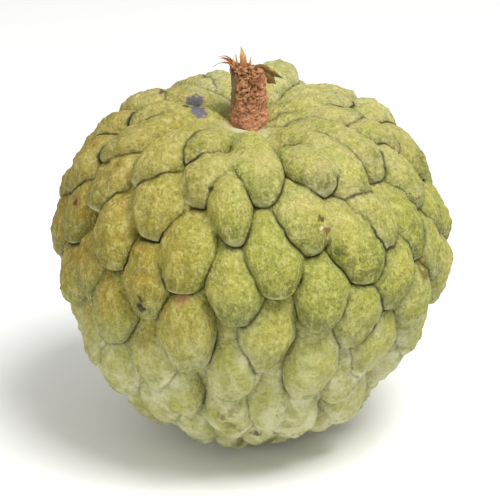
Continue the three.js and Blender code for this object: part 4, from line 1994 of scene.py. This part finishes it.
@dataclass(frozen=True)
class Stem:
    """The stalk: rough bark, torn wood at its top and a few loose fibres.

    Levels are above the fruit's widest level.

    Attributes:
        rest_level: level that the fruit rests on.
        place: its foot's place along X.
        lean: sideways travel along X for each millimetre up from the collar.
        collar: level where it comes out of the fruit.
        foot: level of its buried end.
        swell: how much stouter it is at the collar.
        swell_length: how far up that fades.
        rim_fall: how far the rim falls from its highest side to its lowest.
        rim_fall_turn: degrees from +X towards +Y of its lowest side.
        rim_fall_span: how far a side faces that way where the fall starts and is complete.
        rim_ragged: how ragged the rim is.
        rim_tears: sizes of the coarse and the fine relief of the rim.
        rim_fine: height of the fine one against the coarse one.
        rim_girth: radius at which reliefs of the rim and the hollow are read.
        hollow_waves: least share of that depth, how much it swings and how often in a turn.
        hollow_lumps: relief of the hollow, as high as ``hollow_relief``.
        hollow_shade: shares of the bark's relief that the hollow and its middle are coloured by.
        relief_zero: share of the relief that lies at the stalk's radius.
        bark_girth: radius at which the bark's relief is read.
        bark_squash: how much closer together that relief is along the stalk.
        wander: size and first seed of the lumps that make the relief wander.
        strays: how far the coarse and the medium relief wander.
        coarse, medium, fine: the bark's relief, mixed by ``mix``.
        ridge_power: the lower, the sharper the ridges of the medium one.
        outliers: percentiles of the relief that count as its bottom and its top.
        bulges: slow swelling of the stalk, as high as ``bulge``.
        smooth_turn: degrees from +X towards -Y of the smooth grey side.
        smooth_lumps: how that side's edge varies, by ``smooth_varies``.
        smooth_span: how far a side faces that way where it starts to be grey and where it is.
        smoothness: share of the relief that is missing where it is grey.
        grey_from: distances above the collar between which the grey starts.
        grey_until: distances below the top between which it ends.
        seed: picks the rim's tears, the splinters and the fibres.
        flake: strips of a crumpled flake of dry tissue behind the stalk.
    """

    rest_level: float = -47
    radius: float = 4.05
    place: float = -0.7
    lean: float = -0.04
    top: float = 42.6
    collar: float = 28.6
    foot: float = 25.6
    foot_radius: float = 3.9
    swell: float = 0.25
    swell_length: float = 3
    rim_fall: float = 4.4
    rim_fall_turn: float = 52
    rim_fall_span: Span = (-0.3, 0.9)
    rim_ragged: float = 0.8
    rim_tears: Span = (1.5, 0.6)
    rim_fine: float = 0.5
    rim_girth: float = 4
    hollow_depth: float = 1.6
    hollow_waves: tuple[float, float, int] = (0.7, 0.3, 3)
    hollow_lumps: Lumps = Lumps(0.8, 15)
    hollow_relief: float = 0.35
    hollow_shade: Span = (0.45, 0.4)
    relief: float = 0.55
    relief_zero: float = 0.6
    bark_girth: float = 4.1
    bark_squash: float = 1.1
    wander: tuple[float, int] = (2.2, 5)
    strays: Span = (0.8, 0.5)
    coarse: Lumps = Lumps(0.95, 11)
    medium: Lumps = Lumps(0.6, 12)
    fine: Lumps = Lumps(0.32, 13)
    mix: Place = (0.34, 0.4, 0.26)
    ridge_power: float = 0.7
    outliers: Span = (2, 98)
    bulges: Lumps = Lumps(4.5, 14)
    bulge: float = 0.3
    smooth_turn: float = 167.4
    smooth_lumps: Lumps = Lumps(1.8, 16)
    smooth_varies: float = 0.25
    smooth_span: Span = (0.62, 1.05)
    smoothness: float = 0.6
    grey_from: Span = (1, 8)
    grey_until: Span = (5, 1)
    sides: int = 132
    rows: int = 84
    hollow_rows: int = 10
    seed: int = 77
    splinters: tuple[Sliver, ...] = (
        Sliver((-1.0, -1.8, -3), (-1.2, -1.0, 3.9), 2.8, 1.0, (0.3, 0, 0), 6),
        Sliver((0.2, -1.7, -3), (0.9, -1.3, 1.6), 1.1, 0.7, (0.1, 0, 0), -10),
        Sliver((-2.4, -1.6, -3), (-3.1, -1.6, 1.3), 1.2, 0.7, (0, 0, 0.2), 20),
        Sliver((-2.0, -1.9, -3), (-2.4, -1.6, 2.6), 0.9, 0.6, (0, 0, 0), 12),
    )
    small_splinters: Splinters = Splinters()
    fibres: Fibres = Fibres()
    hairs: tuple[Sliver, ...] = (
        Sliver((-3.6, -0.9, -0.4), (-8.3, -1.5, -2.3), 0.22, 0.18, (-0.5, 0, 1.0)),
        Sliver((-3.6, -0.4, -0.2), (-6.0, -0.9, 0.9), 0.2, 0.16, (-0.2, 0, 0.5)),
        Sliver((-3.2, 0.6, -0.3), (-6.6, 1.5, 0.2), 0.2, 0.16, (0, 0, 0.7)),
    )
    flake: tuple[Sliver, ...] = (
        Sliver((1.4, 3.0, -3.2), (8.0, 5.4, -6.2), 4.4, 1.4, (0, 0, 0.5), 0),
        Sliver((2.0, 3.4, -4.6), (6.2, 6.0, -7.6), 3.8, 1.2, (0.6, -0.3, 0.2), 20),
        Sliver((1.6, 3.2, -2.6), (5.4, 4.6, -3.6), 2.2, 1.1, (0.2, 0, 0.4), -20),
    )

    def _axis(self, level: Array | float) -> Array:
        """Place of the stalk's middle along X at a level."""
        return self.place + self.lean * np.clip(np.asarray(level) - self.collar, 0, None)

    def _at(self, x: float, y: float, above: float) -> Array:
        """A place given from the stalk's own middle and from the top of its rim."""
        level = self.top + above
        return np.array([x + self._axis(level), y, level - self.rest_level], float)

    def _fall(self, angle: Array | float) -> Array:
        """How far the rim has fallen at angles round the stalk."""
        facing = np.cos(angle - math.radians(self.rim_fall_turn))
        return self.rim_fall * eased(facing, *self.rim_fall_span)

    def _rim(self, angle: Array) -> Array:
        """Level of the torn rim all the way round.

        Args:
            angle: angles round the stalk.

        Returns:
            One level for each.
        """
        around = np.stack([np.cos(angle), np.sin(angle), angle * 0], axis=-1) * self.rim_girth
        coarse, fine = (Lumps(size, self.seed + k) for k, size in enumerate(self.rim_tears))
        torn = coarse.at(around) + self.rim_fine * fine.at(around)
        return self.top - self._fall(angle) + self.rim_ragged * torn

    def _surface(self, angle: Array, level: Array) -> tuple[Array, Array, Array]:
        """How rough, how grey and how swollen the bark is.

        Args:
            angle: angles round the stalk.
            level: levels, one row for each ring.

        Returns:
            Share of the relief's height, share of grey, and the swelling.
        """
        girth = self.bark_girth
        unrolled = np.stack(
            np.broadcast_arrays(
                np.cos(angle) * girth, np.sin(angle) * girth, level * self.bark_squash
            ),
            axis=-1,
        )
        size, first_seed = self.wander
        wander = np.stack([Lumps(size, first_seed + k).at(unrolled) for k in range(3)], axis=-1)
        reliefs = (
            0.5 + 0.5 * self.coarse.at(unrolled + self.strays[0] * wander),
            1 - np.abs(self.medium.at(unrolled + self.strays[1] * wander)) ** self.ridge_power,
            0.5 + 0.5 * self.fine.at(unrolled),
        )
        height = sum(share * relief for share, relief in zip(self.mix, reliefs))
        low, high = np.percentile(height, self.outliers)
        height = np.clip((height - low) / (high - low), 0, 1)
        facing = np.cos(angle + math.radians(self.smooth_turn))
        smooth = facing + self.smooth_varies * self.smooth_lumps.at(unrolled)
        grey = eased(smooth, *self.smooth_span)
        grey *= eased(level, *(self.collar + part for part in self.grey_from))
        grey *= 1 - eased(level, *(self.top - part for part in self.grey_until))
        return height * (1 - self.smoothness * grey), grey, self.bulge * self.bulges.at(unrolled)

    def _ring(self, angle: Array, out: Array, level: Array) -> Array:
        """Points round the stalk at distances from its middle, above the resting level."""
        x = self._axis(level) + out * np.cos(angle)
        return np.stack([x, out * np.sin(angle), level - self.rest_level], axis=-1)

    def _bark(self) -> Mesh:
        """The stalk's body, with its rim and the hollow inside the rim.

        Returns:
            The mesh, which keeps its relief and where it is grey.
        """
        angle = np.arange(self.sides) * 2 * np.pi / self.sides
        rim = self._rim(angle)[None, :]
        level = self.foot + (rim - self.foot) * np.linspace(0, 1, self.rows)[:, None]
        climb = eased(level, self.foot, self.collar)
        swell = self.swell * (1 - eased(level, self.collar, self.collar + self.swell_length))
        rough, grey, bulge = self._surface(angle, level)
        out = self.foot_radius + (self.radius - self.foot_radius + swell) * climb + bulge
        out += self.relief * (rough - self.relief_zero) * climb

        inward = np.linspace(1, 0, self.hollow_rows + 1)[1:-1, None]
        least, swing, times = self.hollow_waves
        depth = self.hollow_depth * (least + swing * np.cos(times * angle))
        sunk = rim - (1 - inward**2) * depth
        girth = inward * self.rim_girth
        flat = np.broadcast_arrays(girth * np.cos(angle), girth * np.sin(angle), 0)
        sunk += self.hollow_relief * self.hollow_lumps.at(np.stack(flat, axis=-1))
        hollow = self._ring(angle, inward * out[-1:], sunk)

        rings = np.concatenate([self._ring(angle, out, level), hollow])
        low = [[self.place, 0, self.foot - self.rest_level]]
        high = hollow[-1].mean(axis=0, keepdims=True)
        points = np.vstack([low, rings.reshape(-1, 3), high])
        mesh = mesh_of("stem_bark", points, tube_faces(len(rings), self.sides))
        for name, outer, (inner, end) in (("relief", rough, self.hollow_shade), ("grey", grey, (0, 0))):
            inside = np.full(sunk.size, inner)
            values = np.concatenate([[0], outer.ravel(), inside, [end]])
            store(mesh, name, "FLOAT", "POINT", values.astype(np.float32))
        return mesh

    def _strands(self, name: str, slivers: Sequence[Sliver], rings: int, sides: int) -> Mesh:
        """Makes one mesh of many strands.

        Args:
            name: the mesh's name.
            slivers: the strands.
            rings: rings of points along each.
            sides: points in a ring.

        Returns:
            The mesh, with each point's share of its strand's length kept as "length".
        """
        built = [
            sliver.points(self._at(*sliver.root), self._at(*sliver.tip), (rings, sides), number)
            for number, sliver in enumerate(slivers)
        ]
        points, shares = (np.concatenate(parts) for parts in zip(*built))
        pattern = np.arange(0, len(points), len(points) // len(slivers))
        faces = [
            tuple(int(start) + k for k in face)
            for start in pattern
            for face in tube_faces(rings, sides)
        ]
        mesh = mesh_of(name, points, faces)
        store(mesh, "length", "FLOAT", "POINT", shares.astype(np.float32))
        return mesh

    def build(self) -> dict[str, Piece]:
        """Makes the stalk's pieces, by name.

        Returns:
            The pieces.
        """
        small = self.small_splinters.slivers(SeededDraws(self.seed), self._fall)
        fibres = self.fibres.slivers(SeededDraws(self.seed + 1))
        meshes = (
            self._bark(),
            self._strands("stem_wood", [*self.splinters, *small], rings=10, sides=7),
            self._strands("stem_frayed", fibres, rings=9, sides=6),
            self._strands("stem_hairs", self.hairs, rings=14, sides=6),
            self._strands("stem_flake", self.flake, rings=14, sides=10),
        )
        return {mesh.name: piece_of(mesh.name, mesh) for mesh in meshes}

    def dress(self, pieces: dict[str, Piece], effects: Effects) -> None:
        """Gives each piece of the stalk its finish and ties it to the part.

        Args:
            pieces: the stalk's pieces, by name.
            effects: the shared effects.
        """
        finishes = {
            "stem_bark": BarkFinish(),
            "stem_wood": FibreFinish("torn_wood", srgb("7d4a22"), srgb("cf9f66"), srgb("8f5a2c")),
            "stem_frayed": FibreFinish("frayed_fibre", srgb("9a4f24"), srgb("cf8549"), srgb("7c3d1c")),
            "stem_hairs": FibreFinish("dry_hair", srgb("5d4a38"), srgb("8b7c6a"), srgb("3d3026")),
            "stem_flake": FibreFinish("dry_flake", srgb("7d6238"), srgb("a58a55"), srgb("48371e")),
        }
        for name, piece in pieces.items():
            piece.data.materials.append(finishes[name].material(effects))
            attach(piece, "root")
        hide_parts("stem")


# ---- Studio ----


@dataclass(frozen=True)
class Lamp:
    """A square soft lamp: its name, its place in metres, its breadth and its power in watts."""

    name: str
    place: Place
    size: float
    power: float


@dataclass(frozen=True)
class Studio:
    """A pale floor, soft lights and the camera.

    Attributes:
        elevation: degrees that the camera looks down by.
        distance: metres from the camera to what it looks at.
        pixels_per_mm: scale of the picture at that distance.
        picture: width and height of the picture in pixels.
        centre: what lies in the middle of the picture, in metres.
        floor_reach: distance from the fruit to the floor's edges.
        lamp_aim: what they shine at, in metres.
    """

    elevation: float = 23
    distance: float = 0.6
    pixels_per_mm: float = 4.39
    picture: int = 500
    centre: Place = (-0.00057, 0, 0.0441)
    sensor: float = 36
    floor_reach: float = 1500
    lamps: tuple[Lamp, ...] = (
        Lamp("key", (0.2, -0.2, 0.6), 0.3, 4.6),
        Lamp("fill", (-0.45, -0.6, 0.16), 0.5, 1.5),
    )
    lamp_aim: Place = (0, 0, 0.045)
    sky: float = 0.62

    def _floor(self, effects: Effects) -> None:
        """Lays the floor.

        Args:
            effects: the shared effects.
        """
        corners = ((-1, -1, 0), (1, -1, 0), (1, 1, 0), (-1, 1, 0))
        mesh = mesh_of("floor", np.array(corners) * self.floor_reach, [(0, 1, 2, 3)])
        floor = piece_of("floor", mesh)
        floor.data.materials.append(FloorFinish().material(effects))

    def _camera(self) -> None:
        """Sets the camera up."""
        data = bpy.data.cameras.new("camera")
        data.sensor_width = self.sensor
        across = self.picture / self.pixels_per_mm * MM
        data.lens = self.sensor * self.distance / across
        tilt = math.radians(self.elevation)
        back = self.distance * Vector((0, -math.cos(tilt), math.sin(tilt)))
        camera = piece_of("camera", data)
        camera.location = Vector(self.centre) + back
        camera.rotation_euler = (math.pi / 2 - tilt, 0, 0)
        bpy.context.scene.camera = camera

    def _hang(self, lamp: Lamp) -> None:
        """Hangs a lamp that faces the fruit.

        Args:
            lamp: the lamp.
        """
        data = bpy.data.lights.new(lamp.name, "AREA")
        data.size, data.energy = lamp.size, lamp.power
        hung = piece_of(lamp.name, data)
        hung.location = lamp.place
        aim = Vector(self.lamp_aim) - Vector(lamp.place)
        hung.rotation_euler = aim.to_track_quat("-Z", "Y").to_euler()

    def build(self, effects: Effects) -> None:
        """Sets the floor, lights and camera up.

        Args:
            effects: the shared effects.
        """
        self._floor(effects)
        self._camera()
        for lamp in self.lamps:
            self._hang(lamp)
        world = bpy.data.worlds.new("world")
        world.use_nodes = True
        ground = world.node_tree.nodes["Background"]
        ground.inputs["Color"].default_value = (1, 1, 1, 1)
        ground.inputs["Strength"].default_value = self.sky
        bpy.context.scene.world = world
        bpy.context.scene.view_settings.view_transform = "Standard"


# ---- The whole ----


def main() -> None:
    """Builds and dresses each part of the custard apple, then the studio round it."""
    logging.basicConfig(level=logging.INFO, format="%(name)s: %(message)s")
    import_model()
    effects = Effects()

    fruit = Fruit()
    skin = fruit.build()
    fruit.dress(skin, SkinFinish(), effects)
    log.info("%s: %d points, %d faces", skin.name, len(skin.data.vertices), len(skin.data.polygons))

    stem = Stem()
    stalk = stem.build()
    stem.dress(stalk, effects)
    for name, piece in stalk.items():
        log.info("%s: %d points", name, len(piece.data.vertices))

    Studio().build(effects)


if __name__ == "__main__":
    main()
